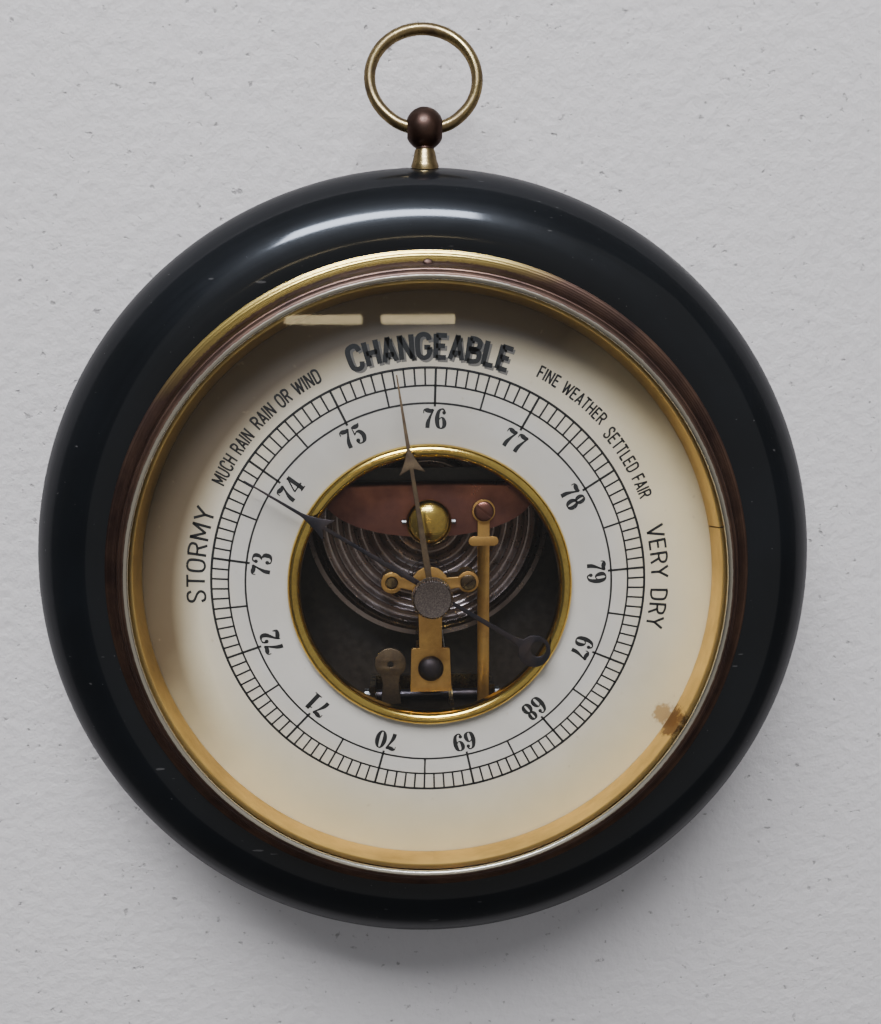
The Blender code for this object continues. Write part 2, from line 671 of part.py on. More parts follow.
def make_shaft_arms():
    """The crank under the link, the long arm for the chain, and a counterweight, all on the shaft."""
    sideways = (0, -pi / 2, 0)
    hole = [(0, 0, SHAFT_R + GAP)]
    boss_r = 2.4
    crank = arc(0, 0, boss_r, -60, 240, 12) + [(-0.9, -CRANK - 0.9), (0.9, -CRANK - 0.9)]
    place = {"body": "shaft_pivot", "turn": sideways}
    plate("crank_arm", "aged_brass", crank, hole, 1.0, (LEVER_X, SHAFT_Y, SHAFT_Z), **place)
    reach = CHAIN_ARM + 0.5
    arm = arc(0, 0, boss_r, 11, 349, 14) + [(reach, -0.45), (reach, 0.45)]
    plate("chain_arm", "aged_brass", arm, hole, 0.9, (CHAIN_ARM_X, SHAFT_Y, SHAFT_Z), **place)
    disc_y = 8.4
    weight = with_mirror([(2.6, -1.6), (2.6, disc_y - 2.9)] + arc(0, disc_y, 3.7, -45, 80, 9))
    at = (-9.2, SHAFT_Y, SHAFT_Z + SHAFT_R + GAP + 0.6)
    plate("counterweight", "aged_brass", weight, [], 1.2, at, "shaft_pivot")
    low, high = SHAFT_Y + 0.75, -1.5
    outline = [(CHAIN_ARM_X, low), (1.75, high), (1.35, high), (CHAIN_ARM_X - 0.4, low)]
    chain = prism("chain", "polished_steel", outline, CHAIN_Z - 0.2, CHAIN_Z + 0.2, "z")
    attach(chain, "chain_pivot", (0, 0, 0), (0, 0, 0))


def cock_outline(base_w, hub_r):
    """A Y-shaped bridge: two ears, a hub on the arbor's axis, and a strip down to a square foot."""
    right = [(base_w / 2, FOOT_Y - 5.5), (base_w * 0.45, FOOT_Y + 4.7), (2.55, FOOT_Y + 4.7)]
    right += arc(0, 0, hub_r, -50, -14, 3) + arc(EAR_X, EAR_Y, 2.4, -150, 150, 10)
    right += arc(0, 0, hub_r, 24, 84, 4)
    return with_mirror(right)


def make_cocks():
    """Two bridges that hold the hand's arbor, the pillars between them, and their screws."""
    middle = (0, 0, COCK_Z + COCK_T / 2)
    holes = [(0, 0, 0.95), (-EAR_X, EAR_Y, 1.4), (EAR_X, EAR_Y, 1.0), (0, FOOT_Y, 1.2)]
    plate("upper_cock", "polished_brass", cock_outline(9.4, 4.2), holes, COCK_T, middle)
    middle = (0, 0, LOWER_COCK_Z + LOWER_COCK_T / 2)
    plate("lower_cock", "aged_brass", cock_outline(7.0, 3.2), [(0, 0, 0.95)], LOWER_COCK_T, middle)
    low = LOWER_COCK_Z + LOWER_COCK_T + GAP
    high = COCK_Z - GAP
    foot = {"at": (0, FOOT_Y, 0), "segments": 16}
    rod("lower_foot_pillar", "aged_brass", 2.2, PLATE_TOP + GAP, LOWER_COCK_Z - GAP, **foot)
    tube = [(1.1, low), (1.9, low), (1.9, high), (1.1, high)]
    turned("upper_foot_pillar", "aged_brass", tube, **foot)
    turned("ear_pillar_right", "aged_brass", tube, at=(EAR_X, EAR_Y, 0), segments=16)
    rivet = [(0, low), (1.9, low), (1.9, high), (1.1, high), (1.1, COCK_Z + 0.7), (0, COCK_Z + 0.7)]
    turned("ear_pillar_left", "aged_brass", rivet, at=(-EAR_X, EAR_Y, 0), segments=16)
    seat = COCK_Z + COCK_T + GAP
    dome = [(2.9 * cos(radians(a)), seat + 0.3 + 1.5 * sin(radians(a))) for a in range(0, 90, 18)]
    profile = [(0, low + 0.5), (0.8, low + 0.5), (0.8, seat), (2.9, seat)] + dome + [(0, seat + 1.8)]
    turned("foot_screw", "blued_steel", profile, at=(0, FOOT_Y, 0), segments=24)
    top = seat + 0.7
    profile = [(0, low + 0.5), (0.7, low + 0.5), (0.7, seat), (1.6, seat), (1.6, top), (0, top)]
    screw = turned("ear_screw", "polished_steel", profile, at=(EAR_X, EAR_Y, 0), segments=16)
    slot(screw, 0.45, 0.4, 6, (EAR_X, EAR_Y, top))


def make_hairspring():
    """A flat spiral from the collet to a stud on the lower cock."""
    inner_r, outer_r = 1.8, 5.3
    turns, steps = 3.5, 70
    half_wide, low, high = 0.1, 20.1, 20.7
    verts = []
    for i in range(steps + 1):
        a = 2 * pi * turns * i / steps
        r = inner_r + (outer_r - inner_r) * i / steps
        for radius in (r - half_wide, r + half_wide):
            for z in (low, high):
                verts.append((radius * cos(a), radius * sin(a), z))
    faces = [(0, 1, 3, 2), (4 * steps, 4 * steps + 2, 4 * steps + 3, 4 * steps + 1)]
    for i in range(steps):
        a, b = 4 * i, 4 * (i + 1)
        for near, far in ((0, 1), (1, 3), (3, 2), (2, 0)):
            faces.append((a + near, b + near, b + far, a + far))
    spring = mesh_object("hairspring", verts, faces)
    spring.data.materials.append(material("blued_steel"))
    attach(spring, "bench", (0, 0, 0), (0, 0, 0))
    stud_low = LOWER_COCK_Z + LOWER_COCK_T + GAP
    rod("hairspring_stud", "polished_brass", 0.4, stud_low, 21.2, at=(-6.1, 0, 0), segments=10)


# ---------------------------------------------------------------- assembly


def make_pivots():
    """One empty for each body that moves, on its joint's axis in the bench frame."""
    pivot("bench").rotation_euler = (pi / 2, 0, 0)
    pivot("ring_pivot", (0, BALL_Y, HANGER_Z))
    pivot("set_pivot")
    pivot("hand_pivot")
    pivot("lever_pivot", (0, FOLD_Y, (LEAF_LOW_Z + LEAF_HIGH_Z + LEAF_T) / 2))
    pivot("link_pivot", (LEVER_X, LINK_Y, LEVER_Z))
    pivot("shaft_pivot", (0, SHAFT_Y, SHAFT_Z))
    pivot("chain_pivot", (CHAIN_ARM_X, SHAFT_Y, CHAIN_Z))
    pivot("adjuster_pivot", (0, CAPSULE_Y, 0))


def main():
    clear_scene()
    make_pivots()
    make_wood_frame()
    make_back_cover()
    make_drum()
    make_bezel()
    make_glass()
    make_sight_ring()
    make_dial()
    make_hanger()
    make_hanging_ring()
    make_indicator()
    make_set_hand()
    make_base_plate()
    make_adjusting_screw()
    make_capsule()
    make_capsule_head()
    make_spring_bridge()
    make_mainspring()
    make_lever()
    make_rocking_shaft()
    make_shaft_arms()
    make_cocks()
    make_hairspring()


main()
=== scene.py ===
"""Looks of the aneroid wall barometer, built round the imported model.

Lengths are in millimetres in the bench frame: x to the reader's right, y up to the hanging ring, z out of
the wall to the reader. BENCH turns them into the row frame, in metres. Angles round the dial are in
degrees clockwise from the top.
"""

import json
from math import cos, pi, radians, sin

import bmesh
import bpy
from mathutils import Matrix, Vector


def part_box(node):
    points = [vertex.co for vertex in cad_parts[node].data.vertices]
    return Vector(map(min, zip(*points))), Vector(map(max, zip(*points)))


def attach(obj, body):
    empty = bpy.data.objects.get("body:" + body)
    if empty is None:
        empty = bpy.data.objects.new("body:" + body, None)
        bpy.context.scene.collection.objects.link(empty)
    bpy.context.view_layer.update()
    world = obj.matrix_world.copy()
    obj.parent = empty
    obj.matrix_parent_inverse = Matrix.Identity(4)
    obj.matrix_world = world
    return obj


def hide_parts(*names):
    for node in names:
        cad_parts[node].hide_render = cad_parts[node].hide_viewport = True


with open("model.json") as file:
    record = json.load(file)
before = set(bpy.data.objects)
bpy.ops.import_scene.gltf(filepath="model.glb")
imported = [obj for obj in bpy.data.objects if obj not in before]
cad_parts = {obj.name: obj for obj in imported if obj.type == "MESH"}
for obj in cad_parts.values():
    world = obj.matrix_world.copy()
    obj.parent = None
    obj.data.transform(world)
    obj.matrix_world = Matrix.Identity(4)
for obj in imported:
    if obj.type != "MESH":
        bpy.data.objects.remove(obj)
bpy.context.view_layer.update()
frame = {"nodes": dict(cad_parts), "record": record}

MM = 0.001
BENCH = Matrix(((MM, 0, 0, 0), (0, 0, -MM, 0), (0, MM, 0, 0), (0, 0, 0, 1)))


def bench_box(node):
    """Lowest and highest corner of a CAD node in the bench frame."""
    low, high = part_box(node)
    return Vector((low.x, low.z, -high.y)) / MM, Vector((high.x, high.z, -low.y)) / MM


# Driving sizes, read from the frame
CASE_R = bench_box("wood_frame")[1].x
BEZEL_R = bench_box("bezel")[1].x
GLASS_R = bench_box("glass")[1].x
KNOB_R = bench_box("set_knob")[1].x
DIAL_R = bench_box("dial_plate")[1].x
DIAL_Z = bench_box("dial_plate")[1].z
CAPSULE_Y = sum(corner.y for corner in bench_box("capsule_diaphragm")) / 2
HANGER_Z = sum(corner.z for corner in bench_box("hanger_stem")) / 2
BALL_R = 4.1
BALL_Y = bench_box("hanger_stem")[1].y - BALL_R

# Sizes that the CAD model shares but no box shows
BORE_R = 65.0
SEAT_R = 69.0
SEAT_Z = 26.5
CROWN_R = 73.0
CROWN_Z = 15.1
RING_R = 11.25  # centreline of the wire
RING_WIRE_R = 1.2
RING_LEAN = 19.0  # degrees, its top back to the wall
WINDOW_R = 28.4
INDICATOR_ANGLE = -58.4
SET_HAND_ANGLE = -8.4
HAND_TIP = 45.7

# Fineness of turned pieces
FINE, FINEST = 256, 320  # sides of the large ones
SHARP = 32.0  # degrees; edges over this stay sharp

# Print
CM_ANGLE = 360 / 13  # one centimetre of mercury on the scale
FIRST_TICK = 2.07
SCALE_R = (46.8, 43.16, 39.55)
INK_T = 0.03
PRINT_STRETCH = 1.013  # sideways
PRINT_SHIFT = (-0.15, 0.03)


# ---- shader helpers


class Shader:
    """A material whose nodes are made in short calls. It starts with a Principled node and its output."""

    def __init__(self, name):
        self.material = bpy.data.materials.new(name)
        self.material.use_nodes = True
        self.tree = self.material.node_tree
        self.surface = self.tree.nodes["Principled BSDF"]
        self.place = self.node("TexCoord").outputs["Object"]

    def set(self, node, values):
        for name, value in values.items():
            socket = node.inputs[name]
            if isinstance(value, bpy.types.NodeSocket):
                self.tree.links.new(value, socket)
            else:
                socket.default_value = value

    def node(self, kind, values=None, **attributes):
        made = self.tree.nodes.new(f"ShaderNode{kind}")
        for name, value in attributes.items():
            setattr(made, name, value)
        self.set(made, values or {})
        return made

    def math(self, operation, a, b=0):
        made = self.node("Math", operation=operation)
        self.set(made, {0: a, 1: b})
        return made.outputs[0]

    def times(self, a, b):
        return self.math("MULTIPLY", a, b)

    def plus(self, a, b):
        return self.math("ADD", a, b)

    def noise(self, per_mm, detail=4.0, roughness=0.55, place=None, stretch=(1, 1, 1)):
        """Noise with this many features per millimetre, from 0 to 1."""
        scale = [per_mm / MM * s for s in stretch]
        mapped = self.node("Mapping", {"Vector": place or self.place, "Scale": scale})
        values = {"Vector": mapped.outputs[0], "Scale": 1.0, "Detail": detail, "Roughness": roughness}
        return self.node("TexNoise", values).outputs["Fac"]

    def distance(self, x=0.0, y=0.0):
        """Distance in metres from an axis out of the wall, at x and y in millimetres."""
        values = {"Vector": self.place, "Location": (-x * MM, 0, -y * MM), "Scale": (1, 0, 1)}
        moved = self.node("Mapping", values).outputs[0]
        return self.node("VectorMath", {0: moved}, operation="LENGTH").outputs["Value"]

    def radius(self):
        """Distance from the dial's axis, in millimetres."""
        return self.math("DIVIDE", self.distance(), MM)

    def along(self, direction):
        """How far a place lies along a direction."""
        made = self.node("VectorMath", {0: self.place, 1: direction}, operation="DOT_PRODUCT")
        return made.outputs["Value"]

    def round_place(self):
        """Coordinates that run round the dial's axis: radius, length of arc at 60 mm out, and depth."""
        parts = self.node("SeparateXYZ", {0: self.place})
        angle = self.math("ARCTAN2", parts.outputs["X"], parts.outputs["Z"])
        arc_length = self.times(angle, 60 * MM)
        values = {0: self.distance(), 1: arc_length, 2: parts.outputs["Y"]}
        return self.node("CombineXYZ", values).outputs[0]

    def ramp(self, value, *stops):
        """Maps a value through (position, colour or level) stops."""
        made = self.node("ValToRGB", {"Fac": value})
        band = made.color_ramp
        for i, (position, level) in enumerate(stops):
            colour = (level, level, level) if isinstance(level, (int, float)) else level
            stop = band.elements[i] if i < 2 else band.elements.new(position)
            stop.position = position
            stop.color = (*colour, 1.0)
        return made.outputs["Color"]

    def mix(self, share, a, b):
        made = self.node("Mix", data_type="RGBA")
        sockets = [s for s in made.inputs if s.enabled]
        for socket, value in zip(sockets, (share, a, b)):
            if isinstance(value, bpy.types.NodeSocket):
                self.tree.links.new(value, socket)
            else:
                socket.default_value = (*value, 1.0) if isinstance(value, tuple) else value
        return [s for s in made.outputs if s.enabled][0]

    def bump(self, height, depth, under=None):
        """Bump of this depth in millimetres."""
        values = {"Height": height, "Distance": depth * MM, "Strength": 1.0}
        if under:
            values["Normal"] = under
        return self.node("Bump", values).outputs[0]

    def finish(self, colour, rough, normal=None, **values):
        looks = {name.replace("_", " "): value for name, value in values.items()}
        looks.update({"Base Color": colour, "Roughness": rough})
        if normal:
            looks["Normal"] = normal
        self.set(self.surface, looks)
        return self.material

    def show(self, result):
        """Puts another result than the Principled node's on the surface."""
        self.tree.links.new(result, self.tree.nodes["Material Output"].inputs["Surface"])
        return self.material


# ---- materials


def ebonised_wood():
    """Black French polish: deep gloss, faint rubbing marks round it, dust and a few pale scratches."""
    s = Shader("ebonised_wood")
    ring = s.round_place()
    rubbing = s.noise(0.9, 5, 0.6, ring, (1, 0.05, 1))
    cloud = s.noise(0.04, 3)
    streaks = s.noise(1.6, 4, 0.6, ring, (0.12, 1, 0.12))
    black = s.ramp(cloud, (0.35, (0.004, 0.005, 0.0065)), (0.72, (0.006, 0.0075, 0.010)))
    dust = s.ramp(s.noise(1.7, 2, 0.4), (0.775, 0.0), (0.80, 0.5))
    scratch = s.ramp(s.noise(1.1, 1, 0.2, stretch=(0.2, 1, 1)), (0.80, 0.0), (0.83, 0.4))
    marks = s.math("MAXIMUM", dust, scratch)
    colour = s.mix(marks, black, (0.16, 0.16, 0.17))
    rough = s.plus(s.ramp(rubbing, (0.3, 0.28), (0.8, 0.4)), s.times(marks, 0.3))
    normal = s.bump(streaks, 0.014, s.bump(rubbing, 0.012, s.bump(cloud, 0.25)))
    return s.finish(colour, rough, normal, Specular_IOR_Level=0.14, Coat_Weight=0.75, Coat_Roughness=0.09)


def polished_brass():
    """Lathe-turned bright brass, tarnished in patches, with fine turning lines."""
    s = Shader("polished_brass")
    fine = s.noise(1.4, 4)
    tarnish = s.plus(s.times(fine, 0.25), s.noise(0.09, 7, 0.62))
    share = s.ramp(tarnish, (0.55, 0.0), (0.82, 0.8))
    colour = s.mix(share, (0.90, 0.64, 0.15), (0.50, 0.30, 0.07))
    lines = s.math("SINE", s.times(s.radius(), 2 * pi / 0.4))
    normal = s.bump(lines, 0.004, s.bump(fine, 0.006))
    return s.finish(colour, s.ramp(share, (0.0, 0.13), (1.0, 0.29)), normal, Metallic=1.0)


def lacquered_brass():
    """The bezel: brass gone brown under lacquer, with a painted gold highlight on the upper part of its
    outer edge, worn to a pale silver on its inner lip, with fine turning lines."""
    s = Shader("lacquered_brass")
    radius = s.radius()
    fine = s.noise(1.4, 4)

    def worn(edge, half_width):
        away = s.math("ABSOLUTE", s.math("SUBTRACT", radius, edge))
        ragged = s.plus(s.math("DIVIDE", away, half_width), s.times(fine, 0.5))
        return s.ramp(ragged, (0.8, 1.0), (1.0, 0.0))

    cloud = s.ramp(s.noise(0.09, 7, 0.62), (0.36, 0.0), (0.64, 1.0))
    brown = s.mix(cloud, (0.25, 0.145, 0.10), (0.13, 0.08, 0.065))
    # Painted highlight: gold on the upper part of the outer edge, where the lamps shine in it; the silver
    # of the inner lip is wear.
    upper = s.ramp(s.along((-2.5, 0, 9.0)), (0.50, 0.0), (0.61, 0.95))
    painted_highlight_share = s.times(worn(BEZEL_R, 1.9), upper)
    silver_share = s.times(worn(GLASS_R - 1.1, 0.9), 0.85)
    colour = s.mix(silver_share, s.mix(painted_highlight_share, brown, (0.88, 0.62, 0.17)), (0.78, 0.72, 0.58))
    lines = s.math("SINE", s.times(radius, 2 * pi / 0.55))
    polish = s.math("MAXIMUM", painted_highlight_share, silver_share)
    normal = s.bump(lines, 0.012, s.bump(fine, 0.006))
    return s.finish(colour, s.ramp(polish, (0.0, 0.38), (1.0, 0.24)), normal, Metallic=1.0)


def plain_metal(name, light, dark, per_mm, rough):
    """Metal whose colour and polish drift between two shades, with fine wear."""
    s = Shader(name)
    cloud = s.noise(per_mm, 6, 0.6)
    fine = s.noise(3.0, 3)
    colour = s.mix(s.ramp(cloud, (0.35, 0.0), (0.68, 1.0)), light, dark)
    wear = s.plus(cloud, s.times(fine, 0.3))
    roughness = s.ramp(wear, (0.45, rough), (0.85, rough + 0.2))
    return s.finish(colour, roughness, s.bump(fine, 0.006), Metallic=1.0)


def capsule_metal():
    """Thin sheet, tarnished to a purple brown in soft clouds."""
    s = Shader("capsule_metal")
    cloud = s.noise(0.12, 5)
    colour = s.mix(s.ramp(cloud, (0.35, 0.0), (0.7, 1.0)), (0.42, 0.34, 0.31), (0.27, 0.20, 0.18))
    rough = s.ramp(s.noise(0.8, 4), (0.35, 0.26), (0.7, 0.36))
    return s.finish(colour, rough, s.bump(s.noise(1.5, 3), 0.002), Metallic=1.0)


FLAKE_AT = (53.0, -30.0)


def flake_share(s, tightness):
    """A ragged patch low on the right, where the gilding and the card's edge have flaked to brown."""
    away = s.times(s.distance(*FLAKE_AT), tightness)
    ragged = s.plus(away, s.noise(0.5, 5, 0.75))
    return s.ramp(ragged, (0.82, 0.9), (0.96, 0.0))


def gilt():
    """Satin gilding that has flaked to brown low on the right."""
    s = Shader("gilt")
    flaked = flake_share(s, 110)
    cloud = s.noise(0.15, 6, 0.65, s.round_place(), (1, 0.35, 1))
    gold = s.mix(s.ramp(cloud, (0.38, 0.0), (0.7, 1.0)), (0.86, 0.60, 0.20), (0.56, 0.37, 0.12))
    colour = s.mix(flaked, gold, (0.20, 0.10, 0.035))
    rough = s.ramp(cloud, (0.3, 0.28), (0.75, 0.46))
    return s.finish(colour, rough, s.bump(s.noise(2.0, 3), 0.01), Metallic=0.85)


def printed_card():
    """Matt white card, yellower towards its edge, with painted shade in brown along its upper left rim and
    a flaked patch.
    """
    s = Shader("printed_card")
    radius = s.radius()
    wander = s.plus(radius, s.times(s.noise(0.03, 3), 14))
    cloud = s.ramp(s.noise(0.05, 4), (0.35, 0.0), (0.7, 1.0))
    white = s.mix(cloud, (0.695, 0.67, 0.645), (0.64, 0.615, 0.585))
    edge = s.ramp(s.math("DIVIDE", wander, 80), (0.60, 0.0), (0.82, 0.95))
    yellow_edge = s.mix(edge, white, (0.92, 0.78, 0.49))
    # Painted shade: brown along the upper left rim, where the bezel shades the sunk card, bounded by a
    # circle set off the axis as that shade is.
    side = s.math("DIVIDE", s.along((-0.62, 0, 0.78)), 0.09)
    upper = s.plus(side, s.times(s.noise(0.04, 4), 0.2))
    rim = s.ramp(s.math("DIVIDE", s.distance(4, -5), DIAL_R * MM), (0.84, 0.0), (0.94, 1.0))
    brown = s.times(s.ramp(upper, (0.02, 0.0), (0.38, 0.97)), rim)
    shaded = s.mix(brown, yellow_edge, (0.17, 0.118, 0.064))
    spots = s.ramp(s.noise(0.7, 3, 0.5), (0.70, 0.0), (0.78, 0.35))
    foxed = s.mix(spots, shaded, (0.50, 0.38, 0.22))
    colour = s.mix(flake_share(s, 160), foxed, (0.50, 0.31, 0.12))
    fibre = s.noise(4.0, 5, 0.7)
    rough = s.ramp(fibre, (0.3, 0.5), (0.7, 0.66))
    return s.finish(colour, rough, s.bump(fibre, 0.008))


def ink(name, colour, grain):
    """Printing ink, slightly uneven where the paper shows through."""
    s = Shader(name)
    worn = s.ramp(s.noise(5.0, 3, 0.6), (0.62, 0.0), (0.8, grain))
    mixed = s.mix(worn, colour, (0.45, 0.43, 0.38))
    return s.finish(mixed, s.ramp(worn, (0.0, 0.5), (1.0, 0.7)))


def aged_brass():
    """Brass gone dark brown, rubbed back to gold in places."""
    s = Shader("aged_brass")
    rub = s.noise(0.35, 6, 0.65)
    share = s.ramp(rub, (0.46, 0.0), (0.66, 1.0))
    colour = s.mix(share, (0.105, 0.07, 0.042), (0.50, 0.36, 0.15))
    rough = s.ramp(rub, (0.35, 0.42), (0.7, 0.24))
    return s.finish(colour, rough, s.bump(s.noise(2.2, 4), 0.012), Metallic=1.0)


def knob_metal():
    """The set knob: a grey-brown grained face, its knurled rim paler."""
    s = Shader("knob_metal")
    grain = s.noise(4.5, 4, 0.7)
    face = s.mix(s.ramp(grain, (0.38, 0.0), (0.66, 1.0)), (0.12, 0.095, 0.085), (0.34, 0.28, 0.24))
    pale_knurl = s.ramp(s.math("DIVIDE", s.radius(), KNOB_R), (0.925, 0.0), (0.985, 0.7))
    colour = s.mix(pale_knurl, face, (0.62, 0.50, 0.36))
    rough = s.ramp(grain, (0.3, 0.46), (0.7, 0.34))
    return s.finish(colour, rough, s.bump(grain, 0.04), Metallic=1.0)


def black_paint():
    """Brownish black paint, mottled and half matt."""
    s = Shader("black_paint")
    mottle = s.noise(0.5, 5)
    colour = s.ramp(mottle, (0.35, (0.030, 0.022, 0.016)), (0.7, (0.052, 0.039, 0.029)))
    rough = s.ramp(mottle, (0.3, 0.36), (0.7, 0.55))
    return s.finish(colour, rough, s.bump(s.noise(3.0, 3), 0.01))


def clear_glass():
    """Thin clear pane: lets what is behind it through, mirrors by angle, and has a faint film of dust."""
    s = Shader("clear_glass")
    film = s.ramp(s.noise(0.08, 6, 0.7), (0.4, (0.985, 0.99, 0.985)), (0.75, (0.955, 0.955, 0.94)))
    clear = s.node("BsdfTransparent", {"Color": film}).outputs[0]
    mirror = s.node("BsdfGlossy", {"Roughness": 0.02}).outputs[0]
    bend = s.node("Fresnel", {"IOR": 1.5}).outputs[0]
    back = s.node("NewGeometry").outputs["Backfacing"]
    share = s.times(bend, s.math("SUBTRACT", 1.0, back))
    pane = s.node("MixShader", {0: share, 1: clear, 2: mirror}).outputs[0]
    s.tree.nodes.remove(s.surface)
    return s.show(pane)


def wall_paint():
    """Pale plaster of the backdrop. It shows on its front only, and only to the camera and in reflections,
    so it hides nothing and shades nothing seen from behind."""
    s = Shader("wall_paint")
    grain = s.noise(0.3, 6, 0.6)
    pits = s.ramp(s.noise(0.5, 3, 0.5), (0.24, 0.0), (0.33, 1.0))
    pale = s.ramp(s.noise(0.004, 3), (0.3, (0.76, 0.75, 0.785)), (0.7, (0.82, 0.81, 0.845)))
    path = s.node("LightPath").outputs
    pitted = s.mix(pits, (0.45, 0.44, 0.46), pale)
    # Painted reflection: the wall is darker where it is seen in reflections, which dims its reflection in
    # the case.
    colour = s.mix(path["Is Glossy Ray"], pitted, (0.24, 0.235, 0.25))
    relief = s.plus(grain, s.times(pits, 0.3))
    s.finish(colour, 0.85, s.bump(relief, 0.5))
    clear = s.node("BsdfTransparent").outputs[0]
    front = s.math("SUBTRACT", 1.0, s.node("NewGeometry").outputs["Backfacing"])
    seen = s.math("MAXIMUM", path["Is Camera Ray"], path["Is Glossy Ray"])
    values = {0: s.times(front, seen), 1: clear, 2: s.surface.outputs[0]}
    return s.show(s.node("MixShader", values).outputs[0])


# Light shade, dark shade, clouds per millimetre, roughness
PLAIN_METALS = {
    "warm_brass": ((0.78, 0.45, 0.13), (0.50, 0.26, 0.08), 0.2, 0.34),
    "dull_brass": ((0.26, 0.18, 0.105), (0.13, 0.085, 0.055), 0.5, 0.38),
    "ring_brass": ((0.60, 0.44, 0.19), (0.22, 0.15, 0.085), 0.25, 0.2),
    "ball_brass": ((0.15, 0.085, 0.062), (0.10, 0.06, 0.045), 0.5, 0.3),
    "blued_steel": ((0.05, 0.048, 0.06), (0.09, 0.066, 0.06), 0.2, 0.32),
    "polished_steel": ((0.66, 0.65, 0.63), (0.36, 0.33, 0.29), 0.4, 0.2),
    "bronzed_steel": ((0.31, 0.125, 0.085), (0.13, 0.055, 0.047), 0.07, 0.24),
    "drum_steel": ((0.42, 0.38, 0.32), (0.22, 0.19, 0.16), 0.1, 0.4),
}
OWN_MATERIALS = (ebonised_wood, lacquered_brass, polished_brass, aged_brass, gilt, clear_glass,
                 printed_card, capsule_metal, black_paint, knob_metal)
FINISHES = {make.__name__: make() for make in OWN_MATERIALS}
FINISHES.update({name: plain_metal(name, *look) for name, look in PLAIN_METALS.items()})
FINISHES["print_ink"] = ink("print_ink", (0.012, 0.012, 0.013), 0.25)
FINISHES["shadow_ink"] = ink("shadow_ink", (0.20, 0.19, 0.18), 0.3)

# The record's material slot of each finish that isn't a slot itself
SLOTS = {"knob_metal": "aged_brass", "ball_brass": "aged_brass", "ring_brass": "aged_brass",
         "dull_brass": "aged_brass", "warm_brass": "polished_brass", "print_ink": "printed_card",
         "shadow_ink": "printed_card"}


# ---- shape helpers


def add_object(name, data):
    obj = bpy.data.objects.new(name, data)
    bpy.context.scene.collection.objects.link(obj)
    return obj


def piece(name, mesh, body, finish, stands_for=(), place=Matrix()):
    """Puts a bench mesh in the row frame as a piece that rides on a body and stands for CAD nodes."""
    mesh.transform(BENCH @ place)
    mesh.materials.clear()
    mesh.materials.append(FINISHES[finish])
    mesh.name = name
    obj = add_object(name, mesh)
    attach(obj, body)
    SLOTS.get(finish, finish)
    if stands_for:
        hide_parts(*stands_for)
    return obj


def smoothed(mesh, sharp=SHARP):
    """A mesh with smooth faces and sharp edges over an angle."""
    mesh.shade_smooth()
    mesh.set_sharp_from_angle(angle=radians(sharp))
    return mesh


def finish_mesh(shape, sharp=SHARP):
    bmesh.ops.recalc_face_normals(shape, faces=shape.faces)
    mesh = bpy.data.meshes.new("shape")
    shape.to_mesh(mesh)
    shape.free()
    return smoothed(mesh, sharp)


def evaluated_mesh(obj):
    graph = bpy.context.evaluated_depsgraph_get()
    return bpy.data.meshes.new_from_object(obj.evaluated_get(graph))


def fillet(points, radius, steps=3):
    """Rounds the corners of a closed outline. A point (x, y, r) has its own radius."""
    rounded = []
    for i, point in enumerate(points):
        here = Vector(point[:2])
        size = point[2] if len(point) > 2 else radius
        if size == 0:
            rounded.append(tuple(here))
            continue
        before = Vector(points[i - 1][:2]) - here
        after = Vector(points[(i + 1) % len(points)][:2]) - here
        start = here + before.normalized() * min(size, before.length * 0.45)
        end = here + after.normalized() * min(size, after.length * 0.45)
        for k in range(steps + 1):
            t = k / steps
            rounded.append(tuple(start * (1 - t) ** 2 + here * 2 * t * (1 - t) + end * t * t))
    return rounded


def lathe(profile, segments=FINE, knurl=None):
    """A solid turned about z from a closed outline of (radius, height). Knurl maps (radius, height, angle)
    to a radius."""
    shape = bmesh.new()
    rows = []
    for radius, height in profile:
        if radius < 1e-6:
            rows.append([shape.verts.new((0, 0, height))])
            continue
        row = []
        for i in range(segments):
            a = 2 * pi * i / segments
            r = knurl(radius, height, a) if knurl else radius
            row.append(shape.verts.new((r * sin(a), r * cos(a), height)))
        rows.append(row)
    for row, after in zip(rows, rows[1:] + rows[:1]):
        if len(row) == 1 and len(after) == 1:
            continue
        for i in range(segments):
            j = (i + 1) % segments
            corners = [row[i % len(row)], row[j % len(row)], after[j % len(after)], after[i % len(after)]]
            shape.faces.new(list(dict.fromkeys(corners)))
    return finish_mesh(shape)


def rod(radius, low, high, segments=48):
    """A plain cylinder about z, to cut holes with."""
    return lathe([(0, low), (radius, low), (radius, high), (0, high)], segments)


def arc(x, y, radius, start, end, steps):
    """Points on an arc, anticlockwise when end is over start, angles in degrees from +x."""
    angles = [radians(start + (end - start) * i / steps) for i in range(steps + 1)]
    return [(x + radius * cos(a), y + radius * sin(a)) for a in angles]


def dome(radius, foot, height, start, step):
    """Points up the side of a dome, from an angle over its foot, in steps of degrees."""
    return [(radius * cos(radians(a)), foot + height * sin(radians(a))) for a in range(start, 90, step)]


def bevelled_curve(dimensions, bevel, resolution, lines, closed):
    """A curve through one or more lines of (x, y, z) points."""
    curve = bpy.data.curves.new("curve", "CURVE")
    curve.dimensions = dimensions
    curve.bevel_depth = bevel
    curve.bevel_resolution = resolution
    for line in lines:
        spline = curve.splines.new("POLY")
        spline.points.add(len(line) - 1)
        for point, place in zip(spline.points, line):
            point.co = (*place, 1)
        spline.use_cyclic_u = closed
    return curve


def curve_mesh(curve):
    """The mesh of a curve, with its doubled points merged."""
    obj = add_object("curve", curve)
    mesh = evaluated_mesh(obj)
    bpy.data.objects.remove(obj)
    shape = bmesh.new()
    shape.from_mesh(mesh)
    bmesh.ops.remove_doubles(shape, verts=shape.verts, dist=1e-4)
    return finish_mesh(shape, 40.0)


